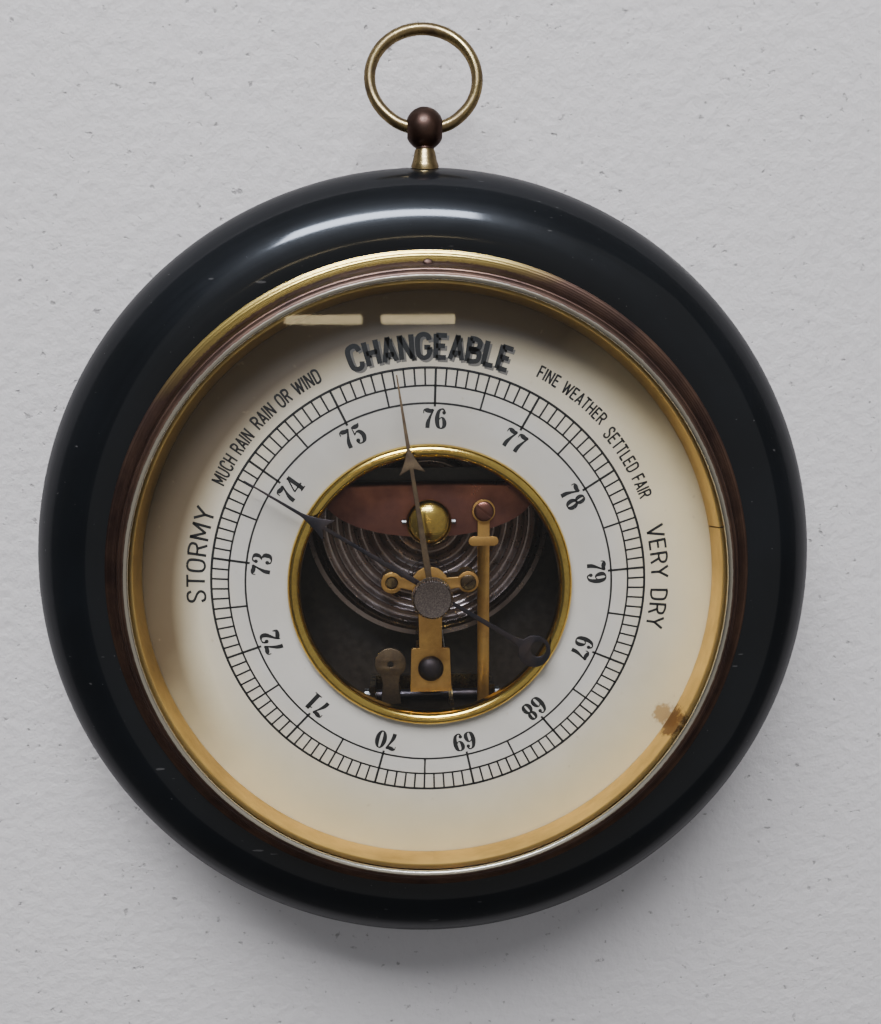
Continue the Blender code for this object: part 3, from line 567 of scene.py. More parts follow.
def sheet_metal(outline, holes, low, high, edge=0.06):
    """A flat piece with broken edges, from low to high, with holes (x, y, radius)."""
    loops = [outline] + [arc(x, y, r, 0, 350, 35) for x, y, r in holes]
    lines = [[(x, y, 0) for x, y in loop] for loop in loops]
    curve = bevelled_curve("2D", edge, 2, lines, True)
    curve.fill_mode = "BOTH"
    curve.extrude = (high - low) / 2 - edge
    curve.offset = -edge
    mesh = curve_mesh(curve)
    mesh.transform(Matrix.Translation((0, 0, (low + high) / 2)))
    return mesh


def wire_mesh(points, radius, resolution, swell=(1.0,)):
    """A round wire through points. Swell is the share of the radius at each point in turn."""
    curve = bevelled_curve("3D", radius, resolution, [points], False)
    curve.use_fill_caps = True
    for i, point in enumerate(curve.splines[0].points):
        point.radius = swell[i % len(swell)]
    return curve_mesh(curve)


def cut(mesh, cutter):
    """One mesh with another cut out of it."""
    whole, tool = add_object("cut", mesh), add_object("cutter", cutter)
    whole.modifiers.new("cut", "BOOLEAN").object = tool
    made = evaluated_mesh(whole)
    bpy.data.objects.remove(whole)
    bpy.data.objects.remove(tool)
    return smoothed(made)


def block(size, centre):
    shape = bmesh.new()
    place = Matrix.Translation(centre) @ Matrix.Diagonal((*size, 1))
    bmesh.ops.create_cube(shape, size=1.0, matrix=place)
    return finish_mesh(shape)


def slotted_screw(radius, low, high, crown, slot_width, angle):
    """A screw head with a domed crown and a slot at an angle, about its own axis."""
    rim = high - crown
    side = [(0, low), (radius - 0.1, low), (radius, low + 0.1), (radius, rim)]
    profile = side + dome(radius, rim, crown, 10, 8) + [(0, high)]
    slot_depth = min(0.55, 0.6 * (high - low))
    knife = block((3 * radius, slot_width, 2 * slot_depth), (0, 0, high))
    knife.transform(turned_by(angle))
    return cut(lathe(profile, 64), knife)


def at(x, y, z=0.0):
    return Matrix.Translation((x, y, z))


def turned_by(angle):
    """A turn about the dial's axis, clockwise to the reader."""
    return Matrix.Rotation(radians(-angle), 4, "Z")


# ---- case


def make_wood_frame():
    """The moulding: a straight back, a fine bead, a round crown, and the seat of the bezel."""
    back = [(84.0, 0, 0.8), (85.9, 4.5, 3.0), (87.1, 9.5, 2.0), (87.5, CROWN_Z - 1.2, 0.25)]
    lip = [(CASE_R - 0.05, CROWN_Z - 0.9, 0.3)]
    crown = [(x, y, 0) for x, y in arc(CROWN_R, CROWN_Z, CASE_R - CROWN_R, 2, 104, 44)]
    seat = [(SEAT_R + 0.1, SEAT_Z + 2.0, 0.4), (SEAT_R, SEAT_Z, 0.1), (BORE_R, SEAT_Z, 0.3)]
    rebate = [(BORE_R, 1.5, 0.1), (73.9, 1.5, 0.1), (73.9, 0, 0.2)]
    profile = fillet(back + lip + crown + seat + rebate, 0.3, 4)
    piece("wood_frame_turned", lathe(profile, FINEST), "case", "ebonised_wood", ["wood_frame"])


def make_bezel():
    """Spun brass: a rolled foot, a hollow sweep with two fine steps, and a rounded inner lip."""
    low, high = bench_box("bezel")
    foot = [(BORE_R, low.z), (BEZEL_R, low.z), (BEZEL_R, 29.9, 0.3), (BEZEL_R - 0.25, 30.55, 0.25)]
    step = [(BEZEL_R - 0.75, 30.7, 0.12), (BEZEL_R - 0.85, 30.35, 0.12), (BEZEL_R - 1.1, 30.7, 0.15)]
    sweep = [(x, y, 0) for x, y in arc(70.9, 35.6, 4.9, 256, 181, 18)]
    lip = [(65.65, 36.2, 0.1), (65.5, 36.75, 0.15), (65.2, 36.8, 0.1), (64.9, 37.35, 0.25)]
    top = [(64.3, high.z, 0.3), (63.7, high.z, 0.3), (63.2, 37.2, 0.25), (63.2, 36.8, 0.05)]
    profile = fillet(foot + step + sweep + lip + top + [(BORE_R, 36.8)], 0.1, 3)
    piece("bezel_spun", lathe(profile, FINEST), "case", "lacquered_brass", ["bezel"])


def make_bezel_screw():
    low, high = bench_box("bezel_screw")
    centre = (low + high) / 2
    head = slotted_screw(1.25, high.z - 1.3, high.z, 0.4, 0.35, 25)
    piece("bezel_screw_head", head, "case", "ball_brass", ["bezel_screw"], at(centre.x, centre.y))


def make_glass():
    """A flat pane with a bevelled edge and a hole for the knob's bush."""
    low, high = bench_box("glass")
    hole_r = 1.9
    profile = [(hole_r, low.z), (GLASS_R, low.z), (GLASS_R, high.z - 0.9)]
    profile += [(GLASS_R - 1.4, high.z), (hole_r, high.z)]
    pane = piece("glass_pane", lathe(profile), "case", "clear_glass", ["glass"])
    pane.visible_shadow = False


def make_sight_ring():
    """A conical strip, open at a seam, with its edge turned over under the glass."""
    low, high = bench_box("sight_ring")
    back_r, front_r, outer_r = 62.2, 62.95, high.x
    profile = [(back_r, low.z), (back_r + 0.7, low.z), (outer_r, high.z - 0.3)]
    profile += [(outer_r, high.z), (front_r + 0.1, high.z), (front_r, high.z - 0.3)]
    strip = lathe(fillet(profile, 0.12, 2))
    knife = block((6, 0.35, 8), (back_r + 1, 0, (low.z + high.z) / 2))
    knife.transform(turned_by(-12))
    piece("sight_ring_strip", cut(strip, knife), "case", "gilt", ["sight_ring"])


def make_dial():
    """The card, and the half-round bead whose sleeve lines its open middle."""
    back = bench_box("dial_plate")[0].z
    hole = WINDOW_R + 1.0
    profile = [(hole, back), (DIAL_R, back), (DIAL_R, DIAL_Z), (hole, DIAL_Z)]
    piece("dial_card", lathe(fillet(profile, 0.1, 2)), "case", "printed_card", ["dial_plate"])
    bead_r = bench_box("dial_window_ring")[1].x
    middle, half = (bead_r + WINDOW_R) / 2, (bead_r - WINDOW_R) / 2
    front, sleeve_back = DIAL_Z + 0.3, 27.6
    sleeve = [(WINDOW_R, sleeve_back), (hole - 0.3, sleeve_back), (hole - 0.3, front)]
    bead = arc(middle, front, half, 0, 180, 16)
    piece("dial_window_bead", lathe(sleeve + bead), "case", "polished_brass", ["dial_window_ring"])


def make_hanger():
    """A ball on a neck, drilled across for the ring, and a flared foot cut to sit on the moulding."""
    neck = [(0, -19.5), (1.9, -19.5), (1.9, -4.0)]
    ball = [(x, y, 0) for x, y in arc(0, 0, BALL_R, -63, 88, 30)] + [(0, BALL_R)]
    stem = lathe(fillet(neck + ball, 0.15, 4), 96)
    place = at(0, BALL_Y, HANGER_Z) @ Matrix.Rotation(-pi / 2, 4, "X")
    hole = rod(RING_WIRE_R + 0.75, -6, 6)
    hole.transform(Matrix.Rotation(pi / 2, 4, "Y"))
    piece("hanger_ball_stem", cut(stem, hole), "case", "ball_brass", ["hanger_stem"], place)
    cone = [(1.95, -8.5), (3.05, -8.5), (2.95, -7.4), (2.5, -6.0), (2.15, -4.3), (1.95, -4.0)]
    foot = lathe(fillet(cone, 0.15, 3), 72)
    seat = rod(CASE_R - CROWN_R + 0.06, -6, 6, 160)
    seat.transform(at(0, CROWN_R - BALL_Y, 0) @ Matrix.Rotation(pi / 2, 4, "Y"))
    seat.transform(Matrix.Translation((0, 0, CROWN_Z - HANGER_Z)))
    seat.transform(Matrix.Rotation(pi / 2, 4, "X"))
    piece("hanger_foot", cut(foot, seat), "case", "ring_brass", (), place)


def make_hanging_ring():
    """A split ring that leans as the CAD ring does. Its ends flatten a little into the ball, where they
    meet."""
    gap, steps, lean = 7.0, 150, radians(RING_LEAN)
    straight, bent, flattened = BALL_R - 0.9, BALL_R + 4.0, 0.8
    points = []
    for i in range(steps + 1):
        a = radians(gap + (360 - 2 * gap) * i / steps)
        x, rise = RING_R * sin(a), RING_R * (1 - cos(a))
        if rise < RING_R:
            t = min(max((abs(x) - straight) / (bent - straight), 0), 1)
            rise *= flattened + (1 - flattened) * t * t * (3 - 2 * t)
        points.append((x, rise * cos(lean), -rise * sin(lean)))
    ring = wire_mesh(points, RING_WIRE_R, 5)
    piece("hanging_ring_wire", ring, "ring", "ring_brass", ["hanging_ring"], at(0, BALL_Y, HANGER_Z))


# ---- print


def ribbon(shape, left, right, closed=False):
    """A flat inked band between two lines of points, on the dial's face."""
    low, high = DIAL_Z - INK_T, DIAL_Z + INK_T
    rows = []
    for (ax, ay), (bx, by) in zip(left, right):
        corners = ((ax, ay, low), (bx, by, low), (bx, by, high), (ax, ay, high))
        rows.append([shape.verts.new(c) for c in corners])
    pairs = list(zip(rows, rows[1:])) + ([(rows[-1], rows[0])] if closed else [])
    for row, after in pairs:
        for i in range(4):
            j = (i + 1) % 4
            shape.faces.new((row[i], row[j], after[j], after[i]))
    if not closed:
        shape.faces.new(rows[0][::-1])
        shape.faces.new(rows[-1])


def on_circle(radius, angle):
    return radius * sin(radians(angle)), radius * cos(radians(angle))


def print_mesh(shape):
    """The print's mesh, stretched a little sideways as damp paper is."""
    mesh = finish_mesh(shape)
    dx, dy = PRINT_SHIFT
    mesh.transform(Matrix(((PRINT_STRETCH, 0, 0, dx), (0, 1, 0, dy), (0, 0, 1, 0), (0, 0, 0, 1))))
    return mesh


def make_scale():
    """Three circles and 130 ticks: one each millimetre, with halves and whole centimetres longer."""
    shape = bmesh.new()
    outer, middle, inner = SCALE_R
    for radius, width in ((outer, 0.52), (middle, 0.40), (inner, 0.42)):
        rims = [[on_circle(radius + side * width / 2, a * 1.5) for a in range(240)] for side in (-1, 1)]
        ribbon(shape, *rims, closed=True)
    for mark in range(130):
        angle = FIRST_TICK + mark * CM_ANGLE / 10
        end, width = middle, 0.4
        if mark % 5 == 0:
            end, width = inner, 0.42
        if mark % 10 == 0:
            end, width = inner - 0.7, 0.5
        across = Vector(on_circle(width / 2, angle + 90))
        ends = [Vector(on_circle(r, angle)) for r in (end, outer)]
        ribbon(shape, [tuple(p - across) for p in ends], [tuple(p + across) for p in ends])
    piece("dial_scale_print", print_mesh(shape), "case", "print_ink")


def oval(y, half_width, half_height, swell, power, steps):
    """Pen points round an upright oval, thick at its sides."""
    x, hairline = 31, 5.5
    turns = [2 * pi * i / steps for i in range(steps + 1)]
    return [(x + half_width * cos(a), y + half_height * sin(a), hairline + swell * abs(cos(a)) ** power)
            for a in turns]


BODY = 100  # the height that figures and capitals are drawn on
FIGURE_W = 0.62  # a figure's width as a share of that
HEAVY, FINE_LINE = 18, 5
PEN = 1.3  # how much wider than drawn the figures' pen runs
# Each figure's pen strokes, as points (x, y, width), and its dots (x, y, radius)
FIGURE_STROKES = {
    "1": ([[(34, 2, HEAVY), (34, 98, HEAVY)], [(36, 97, 6), (25, 83, 5), (12, 78, 5)],
           [(12, 2.5, FINE_LINE), (56, 2.5, FINE_LINE)]], []),
    "2": ([[(8, 74, 6), (15, 92, 7), (31, 97, 6), (49, 88, 15), (48, 66, HEAVY), (30, 42, 12), (10, 16, 6),
            (6, 3, 5)],
           [(6, 9, 5), (18, 12, 16), (36, 7, 17), (52, 7, 12), (58, 26, 4)]], [(14, 73, 9)]),
    "3": ([[(8, 80, 5), (17, 94, 7), (31, 97, 6), (46, 86, 16), (45, 66, 15), (31, 54, 5), (24, 53, 4)],
           [(24, 53, 4), (37, 51, 6), (51, 36, HEAVY), (48, 13, 16), (30, 3, 6), (14, 7, 6), (7, 20, 5)]],
          [(14, 79, 8.5), (14, 22, 9)]),
    "4": ([[(42, 97, 6), (5, 29, 6)], [(3, 27, 6), (62, 27, 6)], [(43, 96, 17), (43, 2, 17)],
           [(27, 2.5, FINE_LINE), (60, 2.5, FINE_LINE)]], []),
    "5": ([[(12, 92, 5), (24, 88, 16), (40, 88, 16), (53, 97, 4)], [(12, 93, 5), (11, 50, 5)],
           [(11, 52, 5), (24, 62, 6), (40, 58, 14), (51, 36, HEAVY), (45, 12, 15), (28, 3, 6), (13, 8, 6),
            (7, 20, 5)]], [(14, 21, 9)]),
    "6": ([[(53, 83, 5), (44, 95, 7), (34, 97, 6), (19, 84, 13), (12, 50, HEAVY), (17, 16, 15), (32, 3, 5),
            (47, 13, 14), (50, 30, 17), (44, 49, 12), (33, 56, 5), (20, 45, 5)]], [(47, 80, 8.5)]),
    "7": ([[(7, 74, 4), (9, 90, 6), (22, 90, 17), (40, 87, 16), (57, 94, 6)],
           [(57, 93, 6), (42, 62, 9), (30, 30, 16), (28, 3, 17)]], []),
    "8": ([oval(75.5, 14.5, 21.5, 10, 1, 24), oval(27.5, 17.5, 25, 12, 1, 24)], []),
    "0": ([oval(50, 19.5, 47, 13, 1.5, 28)], []),
}


def smooth_line(points):
    """Points on a smooth line through (x, y, width) points."""
    steps = 5
    line = [Vector(p) for p in points]
    if len(line) < 3:
        return line
    ends = [line[0] * 2 - line[1]] + line + [line[-1] * 2 - line[-2]]
    smooth = []
    for a, b, c, d in zip(ends, ends[1:], ends[2:], ends[3:]):
        for k in range(steps):
            t = k / steps
            smooth.append(0.5 * (2 * b + (c - a) * t + (2 * a - 5 * b + 4 * c - d) * t**2
                                 + (3 * b - a - 3 * c + d) * t**3))
    return smooth + [line[-1]]


def pen_stroke(shape, points, place):
    """A stroke through (x, y, width) points, drawn by a place function from its body to the dial."""
    line = smooth_line(points)
    left, right = [], []
    for i, point in enumerate(line):
        along = (line[min(i + 1, len(line) - 1)] - line[max(i - 1, 0)]).to_2d().normalized()
        across = Vector((-along.y, along.x)) * point.z / 2
        left.append(place(point.to_2d() + across))
        right.append(place(point.to_2d() - across))
    ribbon(shape, left, right)


def dot(shape, x, y, radius, place):
    """A filled spot, which closes to a pinhole at its middle."""
    rims = [[place(Vector(p)) for p in arc(x, y, r, 0, 345, 23)] for r in (radius, radius * 0.02)]
    ribbon(shape, *rims, closed=True)


def draw_figure(shape, figure, place):
    """One bold high-contrast numeral, drawn by a place function from its body to the dial."""
    if figure == "9":
        draw_figure(shape, "6", lambda p: place(Vector((FIGURE_W, 1)) - p))
        return
    strokes, dots = FIGURE_STROKES[figure]
    for points in strokes:
        pen_stroke(shape, [(x / BODY, y / BODY, width * PEN / BODY) for x, y, width in points], place)
    for x, y, radius in dots:
        dot(shape, x / BODY, y / BODY, radius * (1 + PEN) / 2 / BODY, place)


def make_numerals():
    """67 to 79 round the dial, each with its feet to the centre."""
    height, width, pitch, foot_r = 4.25, 4.1, 2.62, 34.25
    shape = bmesh.new()
    for number in range(67, 80):
        angle = FIRST_TICK + (number - 76) * CM_ANGLE
        turn = Matrix.Rotation(radians(-angle), 2)
        for i, figure in enumerate(str(number)):
            left = (i - 1) * pitch + (pitch - FIGURE_W * width) / 2

            def place(p, left=left, turn=turn):
                return tuple(turn @ Vector((left + p.x * width, foot_r + p.y * height)))

            draw_figure(shape, figure, place)
    piece("dial_numerals_print", print_mesh(shape), "case", "print_ink")


# Each capital's width and its strokes: two points make a straight stroke, more a smooth one
O_RING = [(28, 98), (11, 90), (5, 70), (5, 30), (11, 10), (28, 2), (45, 10), (51, 30), (51, 70), (45, 90),
          (28, 98)]
STEM, FAR_STEM = [(6, 0), (6, 100)], [(50, 0), (50, 100)]
CAPITALS = {
    "A": (54, [[(2, 0), (28, 100)], [(26, 100), (52, 0)], [(10, 28), (44, 28)]]),
    "B": (55, [STEM, [(6, 96), (28, 96), (45, 87), (45, 63), (28, 53), (6, 53)],
               [(6, 53), (30, 53), (49, 42), (49, 13), (30, 4), (6, 4)]]),
    "C": (55, [[(50, 72), (44, 92)] + O_RING[:6] + [(44, 8), (50, 28)]]),
    "D": (57, [STEM, [(6, 96), (28, 96), (46, 87), (51, 68), (51, 32), (46, 13), (28, 4), (6, 4)]]),
    "E": (49, [STEM, [(6, 95), (47, 95)], [(6, 52), (42, 52)], [(6, 5), (48, 5)]]),
    "F": (47, [STEM, [(6, 95), (47, 95)], [(6, 50), (42, 50)]]),
    "G": (57, [[(50, 74), (44, 92)] + O_RING[:6] + [(44, 9), (51, 24), (51, 46)], [(30, 45), (55, 45)]]),
    "H": (56, [STEM, FAR_STEM, [(6, 52), (50, 52)]]),
    "I": (12, [STEM]),
    "L": (46, [STEM, [(6, 5), (46, 5)]]),
    "M": (68, [STEM, [(62, 0), (62, 100)], [(6, 98), (35, 20)], [(33, 20), (62, 98)]]),
    "N": (56, [STEM, FAR_STEM, [(7, 97), (49, 3)]]),
    "O": (56, [O_RING]),
    "R": (55, [STEM, [(6, 96), (28, 96), (47, 86), (47, 61), (28, 50), (6, 50)], [(30, 50), (50, 0)]]),
    "S": (55, [[(48, 76), (42, 93), (27, 98), (12, 92), (7, 76), (14, 61), (40, 43), (49, 26), (43, 8),
                (28, 2), (12, 7), (6, 25)]]),
    "T": (50, [[(25, 0), (25, 100)], [(0, 95), (50, 95)]]),
    "U": (56, [[(6, 100), (6, 60), (6, 28), (13, 8), (28, 2), (43, 8), (50, 28), (50, 60), (50, 100)]]),
    "V": (54, [[(2, 100), (28, 0)], [(26, 0), (52, 100)]]),
    "W": (78, [[(2, 100), (21, 0)], [(20, 0), (39, 92)], [(38, 92), (57, 0)], [(56, 0), (76, 100)]]),
    "Y": (54, [[(2, 100), (28, 45)], [(52, 100), (26, 45)], [(27, 50), (27, 0)]]),
    " ": (30, []),
}
LETTER_GAP = 13


def word_mesh(text, height, span, middle, base_r, pen):
    """A word in capitals bent round the dial: its cap height, the angle that it spans, its middle, the
    radius of its foot, and the width of its pen as a share of its height."""
    shape = bmesh.new()
    total = sum(CAPITALS[letter][0] for letter in text) + LETTER_GAP * (len(text) - 1)
    left = 0
    for letter in text:
        width, strokes = CAPITALS[letter]

        def place(p, left=left):
            share = (left + p.x * BODY) / total
            return on_circle(base_r + p.y * height, middle + span * (share - 0.5))

        for points in strokes:
            pen_stroke(shape, [(x / BODY, y / BODY, pen) for x, y in points], place)
        left += width + LETTER_GAP
    return finish_mesh(shape)


def make_words():
    """The weather words, in generic English."""
    # Name, text, cap height, degrees spanned, middle, radius of the feet, pen
    words = (
        ("stormy", "STORMY", 4.0, 23.5, -81.0, 48.9, 0.115),
        ("much_rain", "MUCH RAIN", 2.9, 14.5, -55.3, 49.2, 0.17),
        ("rain_or_wind", "RAIN OR WIND", 2.9, 19.5, -36.3, 49.4, 0.17),
        ("fine_weather", "FINE WEATHER", 2.6, 19.5, 36.5, 50.2, 0.165),
        ("settled_fair", "SETTLED FAIR", 2.8, 19.0, 58.0, 49.4, 0.165),
        ("very_dry", "VERY DRY", 3.8, 26.0, 88.0, 48.8, 0.125),
    )
    for name, *word in words:
        piece(f"dial_word_{name}_print", word_mesh(*word), "case", "print_ink")
    shadow = word_mesh("CHANGEABLE", 4.9, 38.5, 0.75, 48.3, 0.21)
    piece("dial_word_changeable_shadow", shadow, "case", "shadow_ink", place=at(0.06, -0.06, -0.02))
    front = word_mesh("CHANGEABLE", 4.9, 38.5, 0.3, 48.7, 0.2)
    piece("dial_word_changeable_print", front, "case", "print_ink")


# ---- hands


def arrow_outline(needle, apex, barb_r, barb_w, notch_r, shank_w):
    """The right side of a hand's head, from shank to point: a barb with a hollow edge, then a needle."""
    hollow = []
    for i in range(1, 7):
        t = i / 7
        hollow.append((barb_w * (1 - t) ** 1.35 + needle * t, barb_r + (apex - barb_r) * t))
    head = [(shank_w, notch_r), (barb_w - 0.15, barb_r - 0.05), (barb_w, barb_r + 0.1)]
    return head + hollow + [(needle, apex), (0.14, HAND_TIP)]


def both_sides(right_side):
    """A whole outline from its right half."""
    return right_side + [(-x, y) for x, y in reversed(right_side)]


def make_indicator():
    """Blued hand, thin in the middle of its shank, with a ring for a counterweight."""
    ring_y, ring_r = -26.6, 3.6
    tail = arc(0, ring_y, ring_r, -86, 74, 22) + [(0.62, -21.0), (0.5, -12.0), (0.42, -2.2)]
    hub = arc(0, 0, 2.3, -74, 76, 16)
    head = arrow_outline(0.38, 32.2, 25.2, 2.6, 26.6, 0.38)
    outline = both_sides(tail + hub + [(0.62, 8.0), (0.42, 18.0)] + head)
    holes = [(0, 0, 0.95), (0.9, ring_y - 0.5, 1.75)]
    low, high = bench_box("indicator_hand")
    hand = sheet_metal(outline, holes, low.z, high.z, 0.1)
    turn = turned_by(INDICATOR_ANGLE)
    piece("indicator_hand_cut", hand, "indicator", "blued_steel", ["indicator_hand"], turn)


def make_set_hand():
    """A brass hand with a plain hub, over the indicator."""
    low, high = bench_box("set_hand")
    hub = arc(0, 0, 2.6, -88, 76, 18)
    head = arrow_outline(0.42, 30.6, 25.5, 2.75, 26.4, 0.42)
    outline = both_sides(hub + [(0.75, 7.0), (0.5, 18.0)] + head)
    hand = sheet_metal(outline, [(0, 0, 1.3)], low.z, high.z, 0.1)
    piece("set_hand_cut", hand, "set_hand", "dull_brass", ["set_hand"], turned_by(SET_HAND_ANGLE))


def make_knob():
    """A knurled knob with a dished top and a plain rim below."""
    low, top, r = bench_box("set_knob")[0].z, bench_box("set_knob")[1].z, KNOB_R
    ridges, depth = 48, 0.3
    knurl_low, knurl_high = low + 1.3, top - 0.1

    def knurl(radius, height, a):
        if radius < r - 0.4 or not knurl_low <= height <= knurl_high:
            return radius
        return radius - depth * (0.5 - 0.5 * cos(ridges * a))

    rim = [(0, low), (2.6, low), (3.5, low + 0.35), (4.1, low + 0.8), (4.15, low + 1.15)]
    side = [(r - 0.2, low + 1.25), (r, low + 1.3), (r, low + 2.0), (r, top - 1.2), (r, top - 0.5)]
    face = [(r - 0.2, top - 0.2), (r - 0.55, top), (r - 1.1, top - 0.05), (1.5, top - 0.16)]
    knob = lathe(rim + side + face + [(0, top - 0.18)], ridges * 6, knurl)
    piece("set_knob_knurled", knob, "set_hand", "knob_metal", ["set_knob"])


# ---- movement


def make_capsule():
    """The rippled skin of the capsule, with a smooth wave in place of the CAD model's flat-sided one."""
    low, high = bench_box("capsule_diaphragm")
    edge, hub, ripples, wall = high.x - 2.4, 5.2, 8, 0.4
    crest, depth = high.z - 0.02, 0.95
    wave = []
    steps = ripples * 10
    for i in range(steps + 1):
        r = edge - (edge - hub) * i / steps
        wave.append((r, crest - depth * abs(cos(pi * ripples * i / steps)) ** 1.6))
    centre = [(hub - 0.5, crest - depth), (hub - 0.9, crest), (0, crest)]
    skin = [(high.x - 1.1, low.z + 0.55)] + wave + centre
    rim = [(edge + 0.9, low.z), (high.x, low.z), (high.x, low.z + 0.45)]
    inside = [(x, y - wall) for x, y in reversed(skin[1:])]
    mesh = lathe(rim + skin + inside, 160)
    place = at(0, CAPSULE_Y)
    piece("capsule_diaphragm_rippled", mesh, "case", "capsule_metal", ["capsule_diaphragm"], place)


def make_dome_nut():
    """A domed nut with a short rim, bored for the post."""
    low, high = bench_box("dome_nut")
    r, rim, bore_r, bore_top = high.x, low.z + 0.4, 1.9, low.z + 1.8
    foot = [(bore_r, low.z), (r - 0.1, low.z), (r, low.z + 0.1)]
    bore = [(0, high.z), (0, bore_top), (bore_r, bore_top)]
    mesh = lathe(foot + dome(r, rim, high.z - rim, 2, 4) + bore, 96)
    piece("dome_nut_polished", mesh, "lever", "polished_brass", ["dome_nut"], at(0, CAPSULE_Y))


def make_mainspring():
    """A leaf folded along its straight top edge. Its front half ends in a bow over the capsule's post."""
    low, high = bench_box("mainspring")
    thick = 0.6
    fold_y = high.y - (high.z - low.z) / 2
    middle, outer = (low.z + high.z) / 2, (high.z - low.z) / 2
    bow_depth = fold_y - low.y
    half = high.x
    shape = bmesh.new()
    columns = 72
    rows = []
    for i in range(columns + 1):
        a = pi * i / columns
        x = -half * cos(a)
        tip_y = fold_y - 0.8 - (bow_depth - 0.8) * sin(a) ** 0.9
        path = [(tip_y, high.z)] + [(y, z) for y, z in reversed(arc(fold_y, middle, outer, -90, 90, 10))]
        path += [(low.y + 6.9, low.z), (low.y + 6.9, low.z + thick)]
        path += arc(fold_y, middle, outer - thick, -90, 90, 10) + [(tip_y, high.z - thick)]
        rows.append([shape.verts.new((x, y, z)) for y, z in path])
    for row, after in zip(rows, rows[1:]):
        for j in range(len(row)):
            k = (j + 1) % len(row)
            shape.faces.new((row[j], row[k], after[k], after[j]))
    shape.faces.new(rows[0])
    shape.faces.new(rows[-1][::-1])
    leaf = finish_mesh(shape)
    hole = rod(2.3, high.z - 3.5, high.z + 1)
    hole.transform(at(0, CAPSULE_Y))
    piece("mainspring_leaf", cut(leaf, hole), "case", "bronzed_steel", ["mainspring"])


def make_lever():
    """Brass strip with a cross tab and a round eye under its slotted screw."""
    low, high = bench_box("lever_arm")
    x = (low.x + high.x) / 2
    half, eye_r, tab_y = 1.35, 2.6, 9.2
    screw_y = high.y - eye_r
    right = [(half, low.y), (half, tab_y - 1.1)] + arc(2.3, tab_y, 1.1, -90, 90, 8)
    right += [(half, tab_y + 1.1), (half, screw_y - 2.3)] + arc(0, screw_y, eye_r, -58, 86, 18)
    strip = sheet_metal(both_sides(right), [(0, low.y + 1.8, 0.8)], low.z, high.z, 0.08)
    piece("lever_strip", strip, "lever", "warm_brass", ["lever_arm"], at(x, 0))
    head = slotted_screw(2.2, high.z + 0.05, bench_box("lever_screw")[1].z, 0.5, 0.55, 40)
    piece("lever_screw_head", head, "lever", "bronzed_steel", ["lever_screw"], at(x, screw_y))


def make_upper_cock():
    """The Y-shaped brass bridge over the hand's arbor, with one ear's screw and the domed foot screw."""
    low, high = bench_box("upper_cock")
    foot, waist, ear_x, ear_y, hub_r = low.y, low.y + 10.2, 8.5, 0.7, 4.2
    right = [(4.7, foot), (4.35, waist - 0.3), (4.0, waist), (2.55, waist)]
    right += arc(0, 0, hub_r, -50, -14, 6) + arc(ear_x, ear_y, 2.4, -150, 150, 26)
    right += arc(0, 0, hub_r, 24, 84, 10)
    holes = [(0, 0, 0.95), (-ear_x, ear_y, 1.4), (ear_x, ear_y, 1.0), (0, foot + 5.5, 1.2)]
    cock = sheet_metal(both_sides(right), holes, low.z, high.z, 0.1)
    piece("upper_cock_plate", cock, "case", "warm_brass", ["upper_cock"])
    seat = high.z + 0.02
    ear = slotted_screw(1.75, seat, bench_box("ear_screw")[1].z, 0.25, 0.4, -35)
    piece("ear_screw_head", ear, "case", "aged_brass", ["ear_screw"], at(ear_x, ear_y))
    screw_low, screw_high = bench_box("foot_screw")
    rim = [(0, seat), (2.8, seat), (2.9, high.z + 0.15)]
    screw = lathe(rim + dome(2.9, high.z + 0.35, 1.6, 4, 6) + [(0, screw_high.z)], 72)
    middle = (screw_low + screw_high) / 2
    piece("foot_screw_dome", screw, "case", "blued_steel", ["foot_screw"], at(middle.x, middle.y))


def make_counterweight():
    """A disc on a waisted stem."""
    low, high = bench_box("counterweight")
    r = (high.x - low.x) / 2
    x = (high.x + low.x) / 2
    disc_y = high.y - r
    right = [(2.4, low.y), (1.9, disc_y - 5.0), (2.3, disc_y - 2.9)] + arc(0, disc_y, r, -50, 86, 24)
    weight = sheet_metal(both_sides(right), [(0, disc_y - 0.2, 0.7)], low.z, high.z, 0.12)
    piece("counterweight_disc", weight, "rocker", "dull_brass", ["counterweight"], at(x, 0))


def make_chain():
    """A fine chain, drawn as a wire that swells and narrows once a link."""
    low, high = bench_box("chain")
    z = (low.z + high.z) / 2
    start, end = Vector((high.x - 0.2, low.y, z)), Vector((low.x + 0.2, high.y, z))
    links = 34
    pitch = (end - start) / links
    half_links = [start + pitch * i / 2 for i in range(2 * links + 1)]
    wire = wire_mesh(half_links, 0.2, 2, (0.55, 1.0))
    piece("chain_links", wire, "chain", "polished_steel", ["chain"])


def finish_other_nodes():
    """CAD nodes that keep their own shape get the finish of their material slot."""
    slots = {entry["node"]: entry["material_slot"] for entry in frame["record"]["subparts"]}
    for name, node in frame["nodes"].items():
        if node.hide_render:
            continue
        node.data.materials.clear()
        node.data.materials.append(FINISHES[slots[name]])
        smoothed(node.data)


# ---- studio


def add_light(name, place, aim, size, power, colour):
    """A rectangular lamp that shines from a place at an aim, both in metres in the row frame."""
    light = bpy.data.lights.new(name, "AREA")
    light.shape = "RECTANGLE"
    light.size, light.size_y = size
    light.energy = power
    light.color = colour
    lamp = add_object(name, light)
    lamp.location = place
    lamp.rotation_euler = (Vector(aim) - Vector(place)).to_track_quat("-Z", "Y").to_euler()
    return lamp


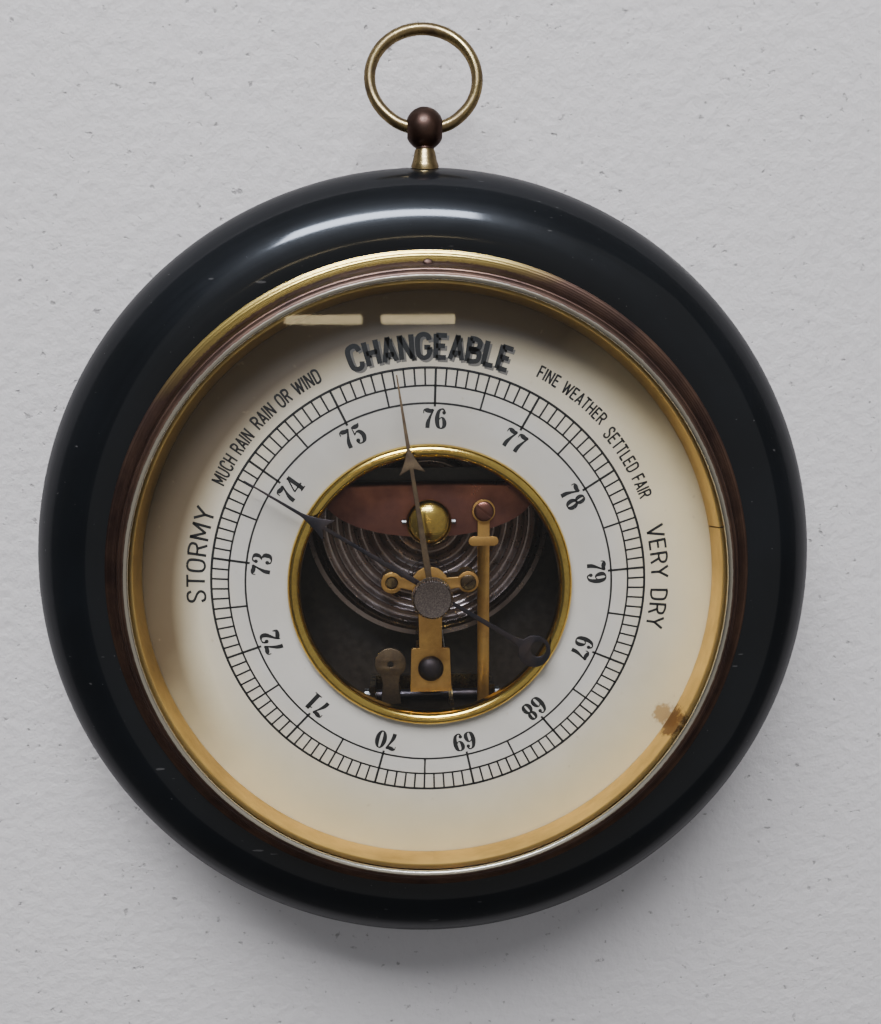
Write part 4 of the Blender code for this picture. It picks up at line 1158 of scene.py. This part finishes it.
def make_backdrop():
    """A pale wall just behind the case, as one face that looks at the reader."""
    reach, depth = 5000, -0.6
    shape = bmesh.new()
    corners = ((-reach, -reach), (reach, -reach), (reach, reach), (-reach, reach))
    shape.faces.new([shape.verts.new((x, y, depth)) for x, y in corners])
    mesh = bpy.data.meshes.new("backdrop")
    shape.to_mesh(mesh)
    shape.free()
    mesh.transform(BENCH)
    mesh.materials.append(wall_paint())
    add_object("backdrop", mesh)


def make_lights():
    """A high softbox, a lower strip that shines in the polish, a weak fill, one for the back of the case,
    and two bars seen in the glass."""
    key = add_light("key", (-0.22, -0.78, 1.27), (0, -0.02, 0), (1.2, 0.75), 41, (1.0, 0.985, 0.975))
    key.visible_glossy = False
    shine = add_light("shine", (-0.09, -0.79, 0.74), (0, -0.02, 0.07), (0.50, 0.17), 13, (0.74, 0.83, 1.0))
    shine.visible_diffuse = False
    add_light("fill", (0.4, -1.5, 0.1), (0, 0, 0), (2.8, 2.8), 5, (1.0, 0.98, 0.96))
    add_light("rear", (0.3, 1.2, 0.7), (0, 0, 0), (0.9, 0.9), 18, (1.0, 0.98, 0.96))
    for x, length in ((-0.1975, 0.207), (0.058, 0.200)):
        bar = add_light("bar", (x, -2.54, 0.272), (x, 0, 0.05), (length, 0.024), 0.2, (1.0, 0.80, 0.45))
        bar.visible_diffuse = False


def make_world():
    """A room that is pale above and dim below."""
    world = bpy.data.worlds.new("room")
    world.use_nodes = True
    tree = world.node_tree
    kinds = ("TexCoord", "SeparateXYZ", "ValToRGB", "Math")
    place, parts, ramp, half = [tree.nodes.new(f"ShaderNode{kind}") for kind in kinds]
    half.operation = "MULTIPLY_ADD"
    half.inputs[1].default_value = 0.5
    half.inputs[2].default_value = 0.5
    tree.links.new(place.outputs["Generated"], parts.inputs[0])
    tree.links.new(parts.outputs["Z"], half.inputs[0])
    tree.links.new(half.outputs[0], ramp.inputs["Fac"])
    tree.links.new(ramp.outputs["Color"], tree.nodes["Background"].inputs["Color"])
    for stop, (position, level) in zip(ramp.color_ramp.elements, ((0.42, 0.07), (0.95, 0.14))):
        stop.position = position
        stop.color = (level, level, level * 1.03, 1)
    bpy.context.scene.world = world


def make_camera():
    """Just above the middle of the dial, a little left, looking slightly down."""
    place = (-0.00698, -0.2344, 0.03873)
    azimuth, elevation, roll = radians(-2.387), radians(12.464), radians(-0.438)
    data = bpy.data.cameras.new("camera")
    data.lens = 33.53
    data.sensor_width = 36.0
    data.shift_x = 0.0025
    data.shift_y = 0.1035
    data.clip_start = 0.01
    camera = add_object("camera", data)
    turn = Matrix.Rotation(azimuth, 4, "Z") @ Matrix.Rotation(pi / 2 - elevation, 4, "X")
    camera.matrix_world = Matrix.Translation(place) @ turn @ Matrix.Rotation(roll, 4, "Z")
    bpy.context.scene.camera = camera


make_camera()
make_backdrop()
make_lights()
make_world()
make_wood_frame()
make_bezel()
make_bezel_screw()
make_glass()
make_sight_ring()
make_dial()
make_hanger()
make_hanging_ring()
make_scale()
make_numerals()
make_words()
make_indicator()
make_set_hand()
make_knob()
make_capsule()
make_dome_nut()
make_mainspring()
make_lever()
make_upper_cock()
make_counterweight()
make_chain()
finish_other_nodes()
